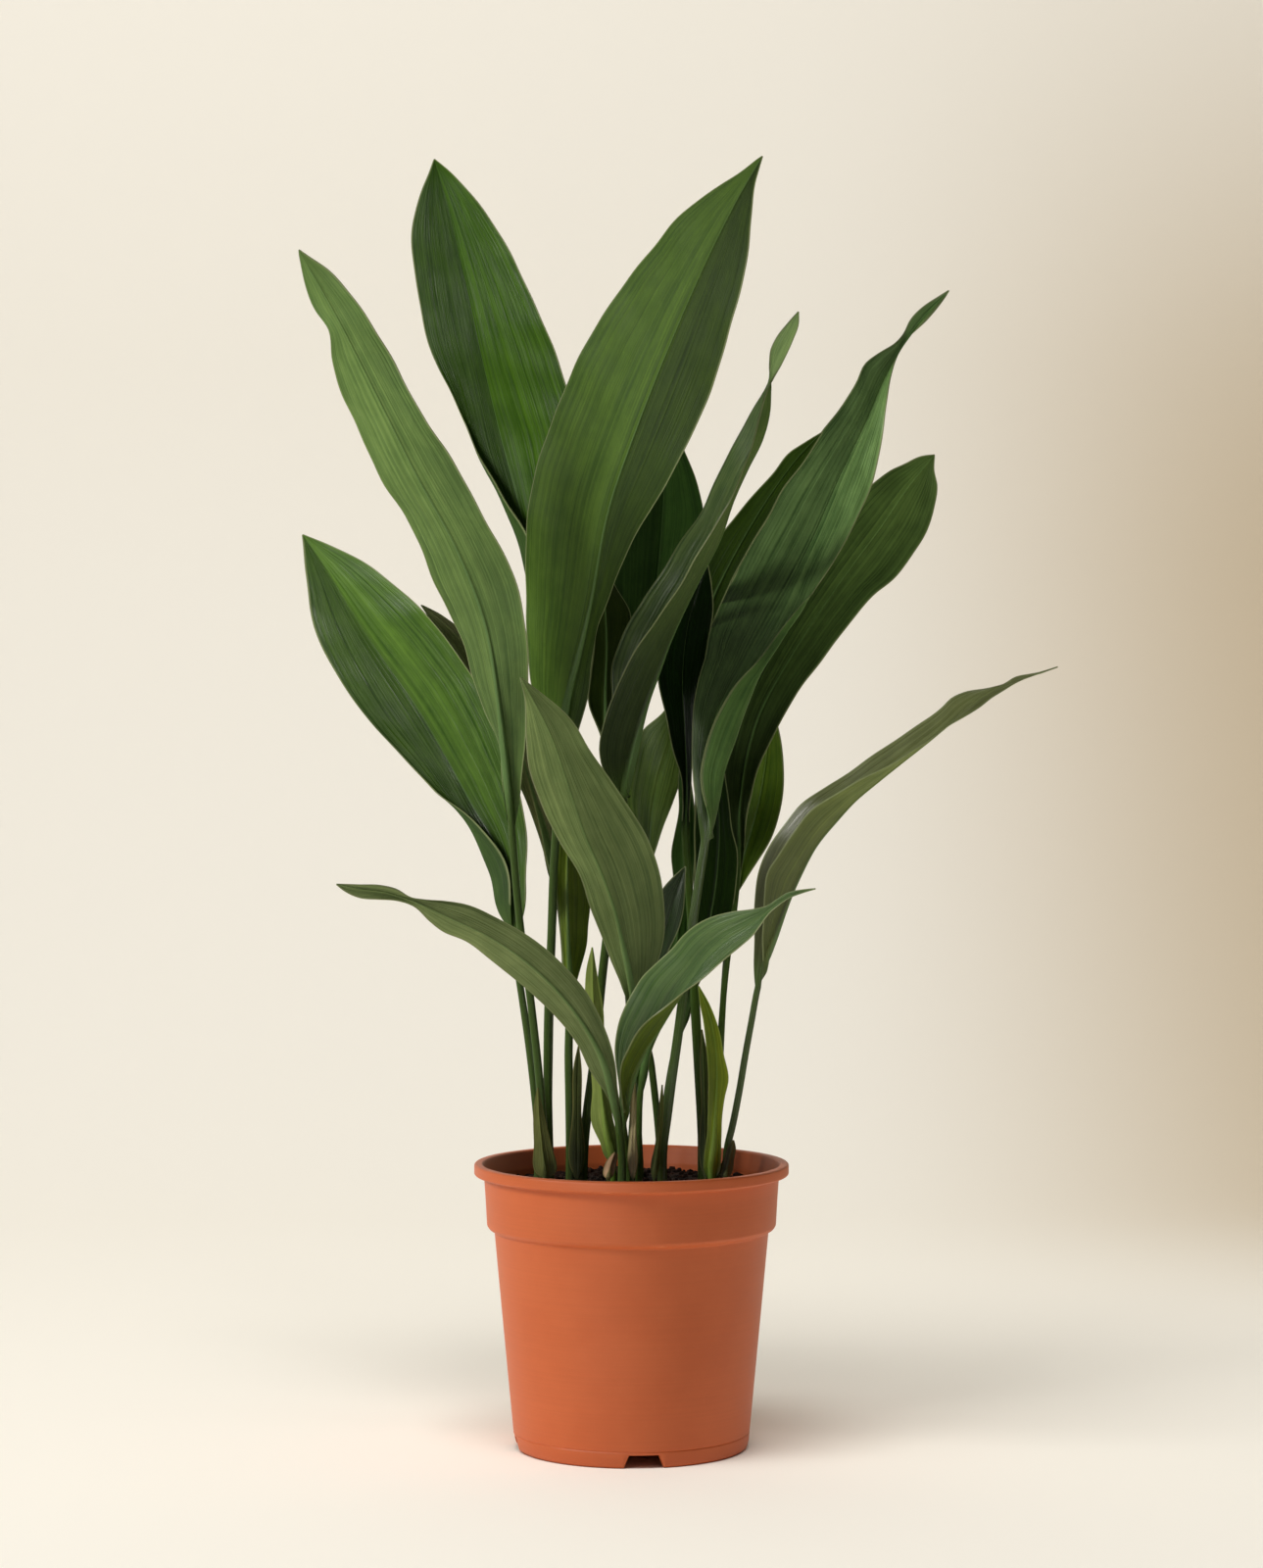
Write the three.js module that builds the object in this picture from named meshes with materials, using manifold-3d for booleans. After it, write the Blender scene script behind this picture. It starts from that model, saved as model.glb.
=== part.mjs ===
// Potted cast iron plant: long stalked leaves rising from a soil-filled round nursery pot.
// Millimetres, +Z up. The origin is the centre of the pot's underside, and -Y is the front.
import * as THREE from 'three';
import Module from 'manifold-3d';
import { mergeVertices } from 'three/addons/utils/BufferGeometryUtils.js';

const wasm = await Module();
wasm.setup();

// Pot
const POT_HEIGHT = 190;
const RIM_RADIUS = 105;
const RIM_MOUTH_RADIUS = 99;
const COLLAR_TOP_RADIUS = 98.5;
const COLLAR_FOOT_RADIUS = 96.5;
const COLLAR_FOOT_Z = 148;
const BODY_TOP_RADIUS = 92;
const BODY_FOOT_RADIUS = 78;
const WALL = 2.6;
const PAD_RADIUS = 38;
const RAISED_FLOOR_Z = 8.5;
const FLOOR_THICKNESS = 2.6;
const POT_SIDES = 48;
const NOTCH_COUNT = 4;
const NOTCH_FOOT_WIDTH = 26;
const NOTCH_HEAD_WIDTH = 19;
const NOTCH_HEIGHT = 8.5;
const NOTCH_CUT_DEPTH = 20;
const NOTCH_TURN = Math.asin(8.3 / BODY_FOOT_RADIUS);
const DRAIN_COUNT = 8;
const DRAIN_RADIUS = 4.5;
const DRAIN_RING_RADIUS = 57;

// Soil
const SOIL_EDGE_Z = 173.5;
const SOIL_CENTRE_Z = 176;
const SOIL_GAP = 0.45;
const SOIL_SIDES = 36;

// Leaf stalks stand in the soil
const STALK_FOOT_Z = 153;
const STALK_STRAIGHT_TO_Z = 173;
const HOLE_SCALE = 1.12;
const HOLE_CLEARANCE = 0.8;

// Leaf blades
const BLADE_THICKNESS = 0.8;
const KEEL_DEPTH = 1.7;
const STALK_CROWN = 0.6;
const KEEL_TIP_RADIUS = 0.35;
const KEEL_TAPER = 2;
const BLADE_TIP_HALF_WIDTH = 0.5;
const BASE_ZONE = 0.15;
const HALF_BOW = 0.05;
const EVEN_ROWS = 0.35;

// Every leaf is drawn in front view: x across and z up, as they are seen from EYE on the
// upright plane through the pot's axis, with y for the depth behind that plane.
const EYE_DISTANCE = 2550;
const EYE_Z = 502;

// front: the side of the blade that faces the front. r: stalk radius at the soil and at the blade.
// root: x and y in the soil. petiole and mid: [x, z, y] along the stalk and along the midrib.
// left and right: [x, z, depth from the midrib] along the two margins, base to tip.
// fold_left and fold_right: the same half-way across a half that is folded over.
const LEAVES = {
  leaf_a: {
    front: 'under', r: [2.9, 2.4], root: [-57.5, -5],
    petiole: [[-58.5, 205, -5], [-62, 250, -5.5], [-65.2, 280, -6], [-67.8, 302, -7.7],
      [-72, 330, -11.2], [-76, 365, -17]],
    mid: [[-80, 415, -25.8], [-83, 455, -35.9], [-88, 500, -50.4], [-97, 550, -61.2],
      [-116, 600, -72], [-143, 650, -82.8], [-163, 690, -90], [-181, 726, -95.4], [-202, 766, -100.8],
      [-221, 798, -104.4]],
    left: [[-84, 440, 3.5], [-89, 470, 9], [-100, 502, 17], [-115, 543, 23.3], [-130.5, 579, 24.7],
      [-151, 622, 23.2], [-170, 655, 23.3], [-191, 701, 20.1], [-198, 726, 16.5], [-201, 744, 8.5],
      [-210, 757, 13.9], [-215, 772, 10.7], [-219, 790, 3.7]],
    right: [[-76, 437, -1.9], [-71, 465, -4.1], [-70, 500, -3.5], [-70, 542, -5.6], [-78, 577, -6.1],
      [-94, 612, -5.5], [-118, 654, -6.7], [-150, 707, -5.5], [-170, 743, -5.3], [-180, 760, -4.7],
      [-200, 782, -2.9]]
  },
  leaf_b: {
    front: 'upper', r: [3.3, 2.1], root: [-62.5, 3],
    petiole: [[-61.8, 205, 3], [-64.9, 240, 4.3], [-68.6, 270, 7], [-73, 300, 10.2],
      [-76.6, 325, 13.8]],
    mid: [[-77, 345, 17.6], [-80, 370, 25.1], [-90, 402, 33.6], [-105, 427, 42], [-121, 456, 50.2],
      [-140, 489, 61.2], [-177, 543, 79.2], [-200, 580, 93.6], [-219, 609, 104.4]],
    left: [[-78, 358, -4.7], [-81, 385, -7.2], [-101, 415, -9.6], [-118, 431, -6.3],
      [-130, 441, -2.4], [-150, 460, 2.6], [-175, 487, 7], [-198, 519, 8.4], [-210, 543, 8],
      [-215, 571, 4.7], [-218, 595, 2.4]],
    right: [[-72, 362, -6.5], [-71, 385, -10.5], [-71, 405, -13.5], [-74, 432, -18.6],
      [-84, 466, -22.6], [-100, 502, -25.6], [-118, 532, -27.2], [-140, 559, -25.8],
      [-158, 574, -21.3], [-179, 590, -15.6], [-200, 601, -7.8]],
    fold_left: [[-84, 353, 1], [-94, 383, -0.3], [-102, 401, -1.6], [-113, 422, -3.3],
      [-125, 440, 0.6], [-136, 456, 2.5], [-160, 488, 5.5], [-190, 540, 4.3], [-208, 585, 1]]
  },
  leaf_c: {
    front: 'under', r: [2.8, 2.3], root: [-55, 37],
    petiole: [[-55.5, 215, 37.7], [-55, 265, 42.2], [-54, 310, 48.7], [-52.5, 350, 54.9]],
    mid: [[-51.5, 378, 60.7], [-57, 405, 67.6], [-66, 437, 74.3], [-80, 480, 82.8], [-100, 520, 97.2],
      [-120, 545, 108], [-140, 562, 115.2]],
    left: [[-56, 391, 0.7], [-62, 410, 0.6], [-70, 432, 0.4], [-78, 449, -1.4], [-94, 482, -4.1],
      [-112, 517, -3.9], [-130, 547, -1.5]],
    right: [[-49, 392, 5.7], [-51, 415, 8.9], [-56, 440, 11.3], [-65, 470, 11.8], [-85, 510, 10.3],
      [-105, 538, 8.1], [-121, 550, 4.2], [-131, 557, 2.4]]
  },
  leaf_d: {
    front: 'upper', r: [2.9, 2.5], root: [-55.5, 22],
    petiole: [[-55.8, 215, 22.4], [-55.6, 260, 24.8], [-54.6, 300, 28], [-53, 345, 32.2],
      [-51, 395, 36.5], [-50, 435, 40.6]],
    mid: [[-50, 470, 45], [-54, 520, 57.6], [-63, 580, 75.6], [-77, 637, 93.6], [-86, 670, 104.4],
      [-94, 702, 113.4], [-102, 737, 122.4], [-107, 761, 129.6], [-111, 779, 135], [-121, 822, 144],
      [-131, 858, 151.2]],
    left: [[-52, 500, -3.8], [-56, 550, -6.5], [-68, 607, -11], [-78, 624, -10.6], [-94, 655, -5],
      [-106, 677, 0.6], [-119, 703, 5.5], [-134, 734, 11.2], [-143, 779, 11.7], [-145.5, 803, 10.9],
      [-140, 835, 4.9], [-134, 850, 2]],
    right: [[-44, 490, -7.5], [-38, 530, -16.4], [-34, 590, -26.3], [-32, 640, -36.7],
      [-36, 680, -41.5], [-44, 706, -41.7], [-55.5, 741, -39.7], [-72, 778, -32.7], [-90, 810, -24.5],
      [-118, 847, -9.7]],
    fold_left: [[-55, 500, 0.6], [-66, 565, -0.9], [-77, 608, -1.8], [-88, 637, -0.6],
      [-99, 665, 2.3], [-108, 700, 4.5], [-120, 745, 5.6], [-127, 790, 4.9], [-131, 825, 3.3]]
  },
  leaf_e: {
    front: 'under', r: [3, 2.7], root: [-54.5, 8.5],
    petiole: [[-55.4, 210, 8.6], [-56, 250, 8.8], [-55.4, 295, 8.8], [-53.5, 340, 7.2],
      [-52, 385, 4.9]],
    mid: [[-49, 430, 0], [-47, 465, -7.2], [-42, 500, -18], [-35, 530, -27], [-27, 565, -36],
      [-15, 625, -50.4], [3, 677, -63], [29, 742, -77.4], [53, 796, -90], [70, 830, -99],
      [87, 860, -106.2]],
    left: [[-54, 452, 5.7], [-65, 508, 20.5], [-70, 560, 34.5], [-68, 620, 42.6], [-60, 663, 46],
      [-43, 708, 45.5], [-20, 751, 41.3], [0, 782, 35.6], [16, 801, 29.5], [32, 819, 24.4],
      [61, 841, 12], [78, 853, 4.6]],
    right: [[-43, 452, -0.8], [-36, 478, 0.6], [-29.5, 500, 2.7], [-24, 549, 13.1], [-12, 577, 12.6],
      [3, 610, 8.6], [24, 645, 2.8], [50, 700, -2.1], [65, 745, -3], [74, 780, -3.4], [79, 819, 0.2],
      [82, 843, 1.6]]
  },
  leaf_f: {
    front: 'under', r: [2.6, 2.2], root: [6, 28],
    petiole: [[4, 220, 28.7], [3, 260, 33.8], [1, 300, 42], [-2, 330, 49], [-5, 360, 56.5],
      [-8, 400, 63.6], [-9, 430, 68.5], [-6, 460, 71.9]],
    mid: [[0, 490, 75.6], [8, 530, 82.8], [15, 570, 91.8], [19, 610, 100.8], [21, 650, 108],
      [18, 700, 115.2]],
    left: [[-8, 515, -6.9], [-14, 550, -13.6], [-18, 585, -19], [-18, 620, -21.2], [-10, 660, -17.2],
      [4, 687, -8.3]],
    right: [[8, 510, 4.7], [28, 560, 14.2], [42, 595, 22.1], [47, 623, 24.1], [43, 640, 20.7],
      [38, 656, 16.1], [33, 670, 12.2], [27, 687, 6.7]]
  },
  leaf_g: {
    front: 'under', r: [2.5, 2.1], root: [0, 15],
    petiole: [[1, 220, 15.4], [1, 255, 17.7], [-2, 300, 24.2], [-5, 330, 29.4], [-8, 360, 35.1],
      [-12, 400, 41.9], [-15, 430, 45.6]],
    mid: [[-17, 452, 48.3], [-18, 500, 52.2], [-17, 540, 54], [-20, 580, 52.2], [-32, 625, 52.2]],
    left: [[-20, 474, -0.5], [-29, 498, -3.6], [-27, 515, -1.6], [-24.5, 536, -0.4],
      [-25.5, 552, -0.5], [-32, 590, -2.4]],
    right: [[-13, 485, 3.8], [-12, 515, 5.4], [-9, 536, 7.9], [-2.5, 545, 11.9], [-1, 553, 13.2],
      [-12, 577, 7.7], [-24, 605, 3.5]]
  },
  leaf_h: {
    front: 'upper', r: [3.3, 2.7], root: [-32.8, 5.5],
    petiole: [[-31.5, 205, 5], [-29, 228, 4.2], [-26, 250, 3.3], [-22.5, 285, 1.2], [-19.5, 315, 0],
      [-16, 345, -2.9], [-11.5, 385, -6.5]],
    mid: [[-5, 432, -12.3], [0, 462, -14.4], [5, 485, -14.4], [10, 501, -12.6], [16, 516, -10.8],
      [24, 537, -9], [35, 561, -9], [45, 581, -10.8], [58, 606, -14.4], [67, 632, -18],
      [77, 654, -21.6], [86, 672, -23.4], [91, 692, -25.2], [91.5, 704, -27], [92, 712, -27],
      [98, 731, -30.6], [111, 757, -34.2]],
    left: [[-9, 447, 5], [-11, 470, 10.1], [-12, 500, 13.9], [-12, 524, 14.7], [-6, 541, 15.6],
      [8, 564, 17.1], [20, 580, 16.7], [31, 600, 15.8], [47, 626, 15.5], [59, 650, 12.8],
      [70, 669, 10.1], [80, 690, 6.5], [89, 707, 2.6], [92.5, 720, -1.3], [93, 731, -2.7],
      [97, 740, -2.7], [104, 749, -1.4]],
    right: [[-13, 439, -2.6], [-20.5, 454, -5.2], [-22, 470, -6.5], [-19, 485, -8.5],
      [-11, 505, -10.8], [-3, 521, -12.1], [14, 548, -13.9], [32, 576, -14.6], [50, 604, -14.1],
      [62, 624, -12.7], [70, 645, -10.6], [79, 668, -8.3], [86, 690, -5.3], [90, 704, -2.8],
      [93.5, 713, 1.2], [100, 724, 3.6], [107, 736, 3.9], [111, 749, 1.5]]
  },
  leaf_i: {
    front: 'under', r: [2.6, 2.2], root: [47, 13],
    petiole: [[46.5, 220, 13.3], [45, 260, 15.8], [43, 300, 20.4], [40, 335, 27], [38, 370, 36],
      [37, 410, 47.8], [36.5, 445, 57]],
    mid: [[37, 470, 61.2], [40, 500, 64.8], [45, 530, 66.6], [54, 565, 64.8], [66, 590, 61.2],
      [80, 615, 59.4], [96, 640, 57.6], [110, 659, 57.6], [127, 677, 57.6]],
    left: [[36, 490, 2], [36, 520, 3], [38, 550, 3], [44, 580, 3], [57, 605, 3], [69, 620, 3],
      [80, 633.5, 3], [95, 650, 2], [105, 663, 2], [114, 669, 1]],
    right: [[40, 485, 1], [43.5, 505, 1], [47.5, 528, 1], [52, 545, 1], [56.5, 556, 0], [64, 572, -2],
      [70.8, 586, -3], [80.5, 604, -3], [91, 621, -3], [101, 639, -2], [115.5, 658, -1]]
  },
  leaf_j: {
    front: 'upper', r: [3.4, 2.9], root: [20.5, -14],
    petiole: [[20.8, 200, -14], [23.5, 220, -14.4], [27, 247, -14.1], [31, 275, -14.1],
      [34.5, 302, -14.1], [38.5, 330, -14], [42, 358, -13.7], [46, 385, -13]],
    mid: [[49, 405, -11.8], [50, 425, -10.5], [49.5, 445, -7.1], [51.5, 465, 0], [57, 487, 9],
      [66, 506, 18], [78, 527, 30.6], [90, 548, 50.4], [107, 579, 75.6], [122, 609, 93.6],
      [138, 646, 111.6], [158, 688, 129.6], [168, 712, 138.6], [178, 731, 145.8], [190, 749, 153],
      [211, 771, 162]],
    left: [[46, 425, -3], [43, 441, -3], [41, 455, -2], [40.7, 475, -1], [42.5, 501, -1],
      [45, 514, 0], [49, 529, 2], [55, 545, 5], [61.5, 560, 9], [65, 570, 13], [69, 581, 14],
      [74, 592, 13], [79, 604, 11], [88.5, 621.5, 8], [98.5, 639, 5], [110, 654, 2], [120, 667, -2],
      [128, 678, -4], [139, 692, -6], [151, 711, -8], [156, 722, -8], [166, 730, -6],
      [175, 735.5, -3], [181, 741, 1], [186, 751, 2], [195, 760, 2], [204, 766.5, 1]],
    right: [[49, 418, -6], [46, 437, -10], [46, 452, -11], [52.6, 480.6, -12], [68, 509, -12],
      [83, 526, -11], [96, 544, -10], [108, 559, -9], [119, 572, -8], [133, 589, -8], [150, 620, -9],
      [160.5, 646, -9], [166, 670, -8], [170, 697, -7], [172, 715, -5], [176, 726, -1], [181, 734, 2],
      [189, 743.5, 2], [197, 752, 1], [208, 766, 0]],
    fold_right: [[53, 417, -1], [59, 440, -3], [61, 449, -4], [67, 468, -5], [75, 490, -5],
      [81, 505, -5], [92, 526, -5], [103, 544, -5], [112, 561, -4], [121, 583, -3], [135, 613, -3],
      [150, 652, -3], [164, 692, -3], [172, 718, -2], [184, 740, 0], [196, 756, 0]]
  },
  leaf_k: {
    front: 'upper', r: [3.2, 2.6], root: [48, -5],
    petiole: [[47.5, 200, -5], [46.5, 222, -4.1], [45, 247, -3.3], [43.5, 272, -1.2], [42, 297, 0],
      [41, 325, 4.1], [39.5, 355, 9], [37.5, 385, 14.6]],
    mid: [[36, 407, 20.4], [37, 440, 28.4], [35.5, 480, 36], [34, 510, 39.6], [37, 545, 43.2],
      [44, 573, 45], [50.5, 591, 45]],
    left: [[34.5, 430, -1], [33.5, 447, -2], [28, 465, -4], [23.6, 488, -4], [18.5, 509, -4],
      [17, 525, -3], [22, 550, -2], [34, 573, -1], [44, 585, 0]],
    right: [[38.5, 430, -1], [40, 455, -1], [43, 485, 0], [47, 515, 1], [51, 538, 2], [54, 557, 2],
      [53, 575, 1]]
  },
  leaf_l: {
    front: 'under', r: [2.4, 1.9], root: [56, 2],
    petiole: [[56, 205, 2], [57, 228, 2.1], [58.5, 260, 3.4], [60.3, 286, 6.1], [62, 308, 10.5],
      [64.5, 330, 16.8], [68.5, 358, 27.3]],
    mid: [[71, 383, 42], [72, 420, 62.4], [76, 455, 82.5], [86, 490, 104.4], [102, 520, 126],
      [122, 552, 147.6], [145, 585, 165.6], [165, 612, 178.2], [184, 640, 187.2], [201.5, 662, 192.6]],
    left: [[68, 405, -0.4], [62, 430, -1.4], [62, 460, -0.9], [70, 495, -0.7], [84, 528, -0.9],
      [100, 560, -1.2], [120, 592, -1.8], [140, 621, -2.2], [161, 643, -2.3], [173, 651.5, -1.3],
      [181, 655, -0.7], [194, 661, -1.1]],
    right: [[75, 406, -0.6], [78, 430, -3.1], [84, 454, -4.8], [97, 479, -4.6], [109, 501, -5],
      [127, 527, -4], [150, 556, -1.7], [161, 568, -0.9], [175, 580, 1.8], [188, 598, 2.8],
      [196, 611, 4.5], [201, 627, 4.5], [203, 641, 3.7], [201, 652, 1.3]]
  },
  leaf_m: {
    front: 'under', r: [2.4, 2], root: [57, 12],
    petiole: [[56.5, 215, 13.2], [59, 255, 18.9], [61, 295, 27.6], [63.5, 330, 42]],
    mid: [[66, 352, 53.8], [71, 377, 70.1], [78, 402, 85.7], [86, 432, 105.6], [91, 465, 125.9],
      [92, 500, 144]],
    left: [[67, 380, 5.7], [71, 405, 9], [76, 435, 12.3], [81, 468, 11.1], [86, 488, 5.5]],
    right: [[69.5, 368, 0.8], [75, 377, -1.1], [83, 389.5, -3.5], [94, 410, -6.7], [99, 429, -6.7],
      [101, 448, -5.9], [100.7, 460, -5.3], [98, 480, -4.3]]
  },
  leaf_n: {
    front: 'under', r: [2.7, 2.2], root: [21, 12],
    petiole: [[21.5, 215, 12.2], [24.5, 240, 12.8], [28, 260, 13.5]],
    mid: [[32.5, 278, 14.2], [38, 300, 15.3], [46, 330, 18.2], [53, 360, 21.4], [57, 390, 24.6],
      [58, 420, 27.7], [55, 450, 30.4], [49, 480, 32.4]],
    left: [[33.5, 295, -1.2], [37, 315, -2.4], [40, 342, -5], [41.5, 370, -7.9], [41.8, 400, -9.9],
      [43, 430, -8.8], [44, 460, -6.2]],
    right: [[37, 287, 1.5], [42, 303, 1.2], [49, 319, 2], [59, 340, 4.3], [66.5, 358, 5.6],
      [69.5, 377, 5.9], [70, 399, 4.9], [66.5, 413, 2.1], [65, 426, 2.3], [63, 441, 2.9],
      [58, 465, 3.1]]
  },
  leaf_o: {
    front: 'under', r: [2.4, 2.1], root: [5, -12],
    petiole: [[4.7, 200, -13], [5, 222, -14.4]],
    mid: [[6, 238, -14.9], [9, 258, -15.7], [17, 285, -9.7], [27, 320, 8.1], [33, 360, 24.4],
      [35, 400, 33.5], [35.5, 440, 40.8], [34.5, 470, 46.8]],
    left: [[4.5, 255, 0.8], [10, 281, 1.1], [19, 309, 1.9], [26, 340, 1.8], [29, 362, 1.8],
      [28.3, 380, 2.1], [27, 398, 1.6], [29, 409, 1.2], [32, 425, 1.7], [31.5, 445, 0.8]],
    right: [[9, 248, 0.7], [13.5, 266, 0.6], [22, 285, 1], [32, 312, 0.6], [38, 345, 0.6],
      [41, 380, 0.6], [43, 410, 0.4], [40, 440, 0.1]]
  },
  leaf_p: {
    front: 'upper', r: [2.3, 1.9], root: [-1, 3],
    petiole: [[0, 210, 4], [2.5, 240, 5.3], [6, 268, 5.8]],
    mid: [[9, 286, 3.7], [14, 310, -2.6], [20, 335, -7.1], [27, 360, -9.2], [36, 388, -9.8]],
    left: [[7, 300, -2.4], [9, 325, -3.2], [14, 350, -3.9], [20, 371, -4], [28.3, 381, -2.6]],
    right: [[12.5, 300, -0.7], [18, 315, -0.6], [24.5, 332, 0.5], [30.5, 345, 0.7], [33.5, 355, 0.8],
      [35.5, 372, 0.2]]
  },
  leaf_q: {
    front: 'upper', r: [2.5, 2.1], root: [4.2, 39],
    petiole: [[4.8, 220, 38.5], [5.5, 258, 41.9], [7, 290, 44.4], [8, 320, 46.1], [8.5, 355, 47.4]],
    mid: [[10, 383, 50.1], [12, 405, 54.1], [14, 425, 55.8], [18, 445, 55.2], [25, 468, 54],
      [33, 500, 52.2]],
    left: [[5, 398, 2.2], [0, 415, 5.5], [-3, 432, 8], [-1.5, 445, 8.6], [1, 459, 9.2],
      [2.5, 469, 9.9], [8, 479, 8.6], [19, 489, 4.5], [28, 498, 2.2]],
    right: [[13, 391, -0.1], [16, 400, -0.2], [21, 415, -1], [27, 430, -1.9], [32, 445, -3.7],
      [34, 462, -3.2], [35, 482, -2.2]]
  },
  leaf_r: {
    front: 'under', r: [2.6, 2.2], root: [20, 1],
    petiole: [[18, 212, 1], [16.4, 228, 1], [14.5, 245, 0], [12.5, 260, -1.1], [8.5, 274, -5.9]],
    mid: [[3, 290, -14.8], [-1, 312, -26.5], [-6, 335, -37], [-12, 360, -48.9], [-20, 383, -61.4],
      [-31, 408, -74.8], [-42, 440, -92.3], [-54, 475, -109.8], [-74, 514, -129.6]],
    left: [[-2, 300, -0.3], [-10.6, 319, -0.2], [-19, 340, 0.4], [-27.4, 361, 0.3], [-34, 382, 1.7],
      [-46, 402, 0.5], [-60, 430, -1.1], [-67, 450, -2.2], [-69.5, 475, -0.5], [-70.5, 498, 0.3]],
    right: [[7, 302, 3.4], [15, 320, 9.9], [20, 336, 15.2], [22, 356, 19.9], [18.5, 382, 22.4],
      [11, 404, 22.7], [0.6, 423, 21.9], [-15, 447, 18.1], [-30, 468, 14.2], [-43, 488, 10.3],
      [-60, 503, 5]]
  },
  leaf_s: {
    front: 'under', r: [3.1, 2.7], root: [-41, -2],
    petiole: [[-41, 205, -2], [-41.5, 235, -2.1], [-42, 262, -3.4]],
    mid: [[-41.5, 288, -3.7], [-42.5, 318, -1.3], [-43, 345, 4.4], [-43.5, 375, 12.7],
      [-43, 400, 18.4], [-41, 430, 22.8], [-38, 460, 25.2]],
    left: [[-45, 312, -1.2], [-46, 330, -0.6], [-47.5, 348, -0.6], [-49.8, 366, -1.2],
      [-50, 385, -1.4], [-49, 410, -2.3], [-46, 440, -2.8]],
    right: [[-38, 308, 4.3], [-35, 322, 9.1], [-31, 337, 14.5], [-29.5, 350, 16.9], [-28, 362, 19.2],
      [-29, 385, 18.4], [-31, 410, 14], [-34, 440, 6.8]]
  },
  leaf_t: {
    front: 'under', r: [3.2, 2.6], root: [-6.5, -31],
    petiole: [[-6.5, 195, -32]],
    mid: [[-8, 211, -35.4], [-13, 236, -42.3], [-20, 260, -51.8], [-32, 282, -63.7],
      [-48, 303, -77.1], [-70, 324, -94.8], [-95, 341, -112.9], [-122, 354, -130.7],
      [-147, 365, -147], [-165, 371, -157.1], [-182, 373, -164.2], [-197, 376, -170.1]],
    left: [[-10, 222, 1], [-17, 237, 2], [-27, 251, 3], [-35, 268, 4], [-50, 288, 5], [-70, 307, 6],
      [-94, 326, 6], [-110, 338.5, 6], [-126, 345.5, 5], [-136, 353.5, 3], [-144, 361, 0],
      [-155, 365, -3], [-169, 366.5, -4], [-181, 367.7, -3], [-191, 371.5, -1]],
    right: [[-9.5, 232, 0], [-11.5, 256, 2], [-19, 281, 4], [-30, 303, 5], [-46, 322, 6],
      [-66, 339, 7], [-89, 352.5, 7], [-110, 362, 6], [-125, 364.5, 5], [-138, 365.5, 3],
      [-147, 367, 1], [-157, 373, -2], [-168, 375.5, -2], [-182, 375.8, -1], [-190, 375.8, 0]]
  },
  leaf_u: {
    front: 'upper', r: [2.7, 2.3], root: [-2, -20],
    petiole: [[-2.5, 195, -21]],
    mid: [[-5, 211, -25.3], [-4, 232, -32.5], [1, 250, -40.5], [8, 265, -46.8], [18, 280, -53.8],
      [28, 296, -60.3], [39, 312, -67.5], [51, 328, -75.1], [63, 339, -83.4], [76, 347, -91.3],
      [87, 355, -99.4], [94, 361, -105.6], [103, 367, -112], [122.5, 373, -121.5]],
    left: [[-8, 232, 3], [-9.5, 252, 7], [-9.6, 271, 9], [-7, 284, 10], [-3, 294, 11], [2, 305, 12],
      [7, 314, 12], [15, 322, 11], [27, 333, 10], [34, 341, 9], [50, 352, 6], [68, 357.5, 4],
      [82, 359.3, 2], [90, 361, 1], [97, 366, 1], [103, 370, 1], [114, 372, 0]],
    right: [[-7, 232, -4], [-8.5, 250, -7], [-7.5, 257, -8], [-2.5, 268, -9], [4, 278, -10],
      [12, 286, -10], [21, 292.5, -9], [29, 298, -8], [37, 305, -7], [50, 316, -6], [61, 326, -5],
      [72, 335, -4], [80, 341.6, -3], [86, 349, -2], [92, 357, -1], [99, 363, 0], [106, 367.5, 0],
      [114, 370.5, 0]]
  },
  leaf_v: {
    front: 'upper', r: [2.5, 2.1], root: [63, -10],
    petiole: [[64, 200, -10], [67.5, 215, -11.2], [72, 238, -13.8], [76, 262, -17], [80, 284, -21.8]],
    mid: [[84.5, 308, -26.1], [90, 328, -30.6], [96, 346, -35.2], [104, 367, -40.4],
      [112, 384, -45.4], [122, 402, -50.4], [136, 419, -53.6], [149, 433, -54.6], [161, 443, -55.2],
      [181, 459, -53.9], [200, 474, -50.4], [212, 484, -46.8], [222, 493, -43.2], [234, 502, -39.6],
      [246, 508, -36], [262, 514, -32.4], [284, 521, -27]],
    left: [[83.5, 322, 3], [82, 341, 7], [81.5, 359, 10], [85, 381, 13], [93, 400, 15],
      [104, 415, 16], [114.6, 429.5, 16], [130, 440.5, 16], [150, 453.7, 15], [170, 466.7, 13],
      [190, 480, 10], [207, 494, 6], [213, 500, 5], [222, 504.5, 4], [239, 508, 2], [248, 509.5, 0],
      [256, 514, -1], [270, 516.3, 0]],
    right: [[87, 328, -3], [87.5, 347, -7], [88, 367, -10], [91, 386, -13], [98, 396, -14],
      [108, 409.5, -15], [120, 424, -15], [131, 431.5, -15], [149, 443.5, -14], [162, 451, -12],
      [180, 462, -9], [198, 473, -6], [210, 481, -4], [222, 488, -3], [232, 494.5, -2],
      [240, 501, -1], [250, 507, 1], [268, 515, 0]]
  },
  shoot_a: {
    front: 'under', r: [2.4, 2], root: [-12, -14],
    petiole: [],
    mid: [[-12.5, 190, -14], [-17, 212, -15], [-20.5, 240, -17], [-23, 270, -19], [-25.5, 300, -21],
      [-26.2, 334, -23]],
    left: [[-16.5, 195, 2], [-20.5, 204, 3], [-26, 216, 4], [-25.5, 240, 4], [-28, 270, 4],
      [-30.5, 305, 3], [-29.5, 320, 1]],
    right: [[-10, 202, 2], [-13.5, 220, 4], [-17, 240, 5], [-19, 268, 4], [-19.5, 293, 3],
      [-23, 312, 2], [-24.8, 324, 1]]
  },
  shoot_b: {
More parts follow.
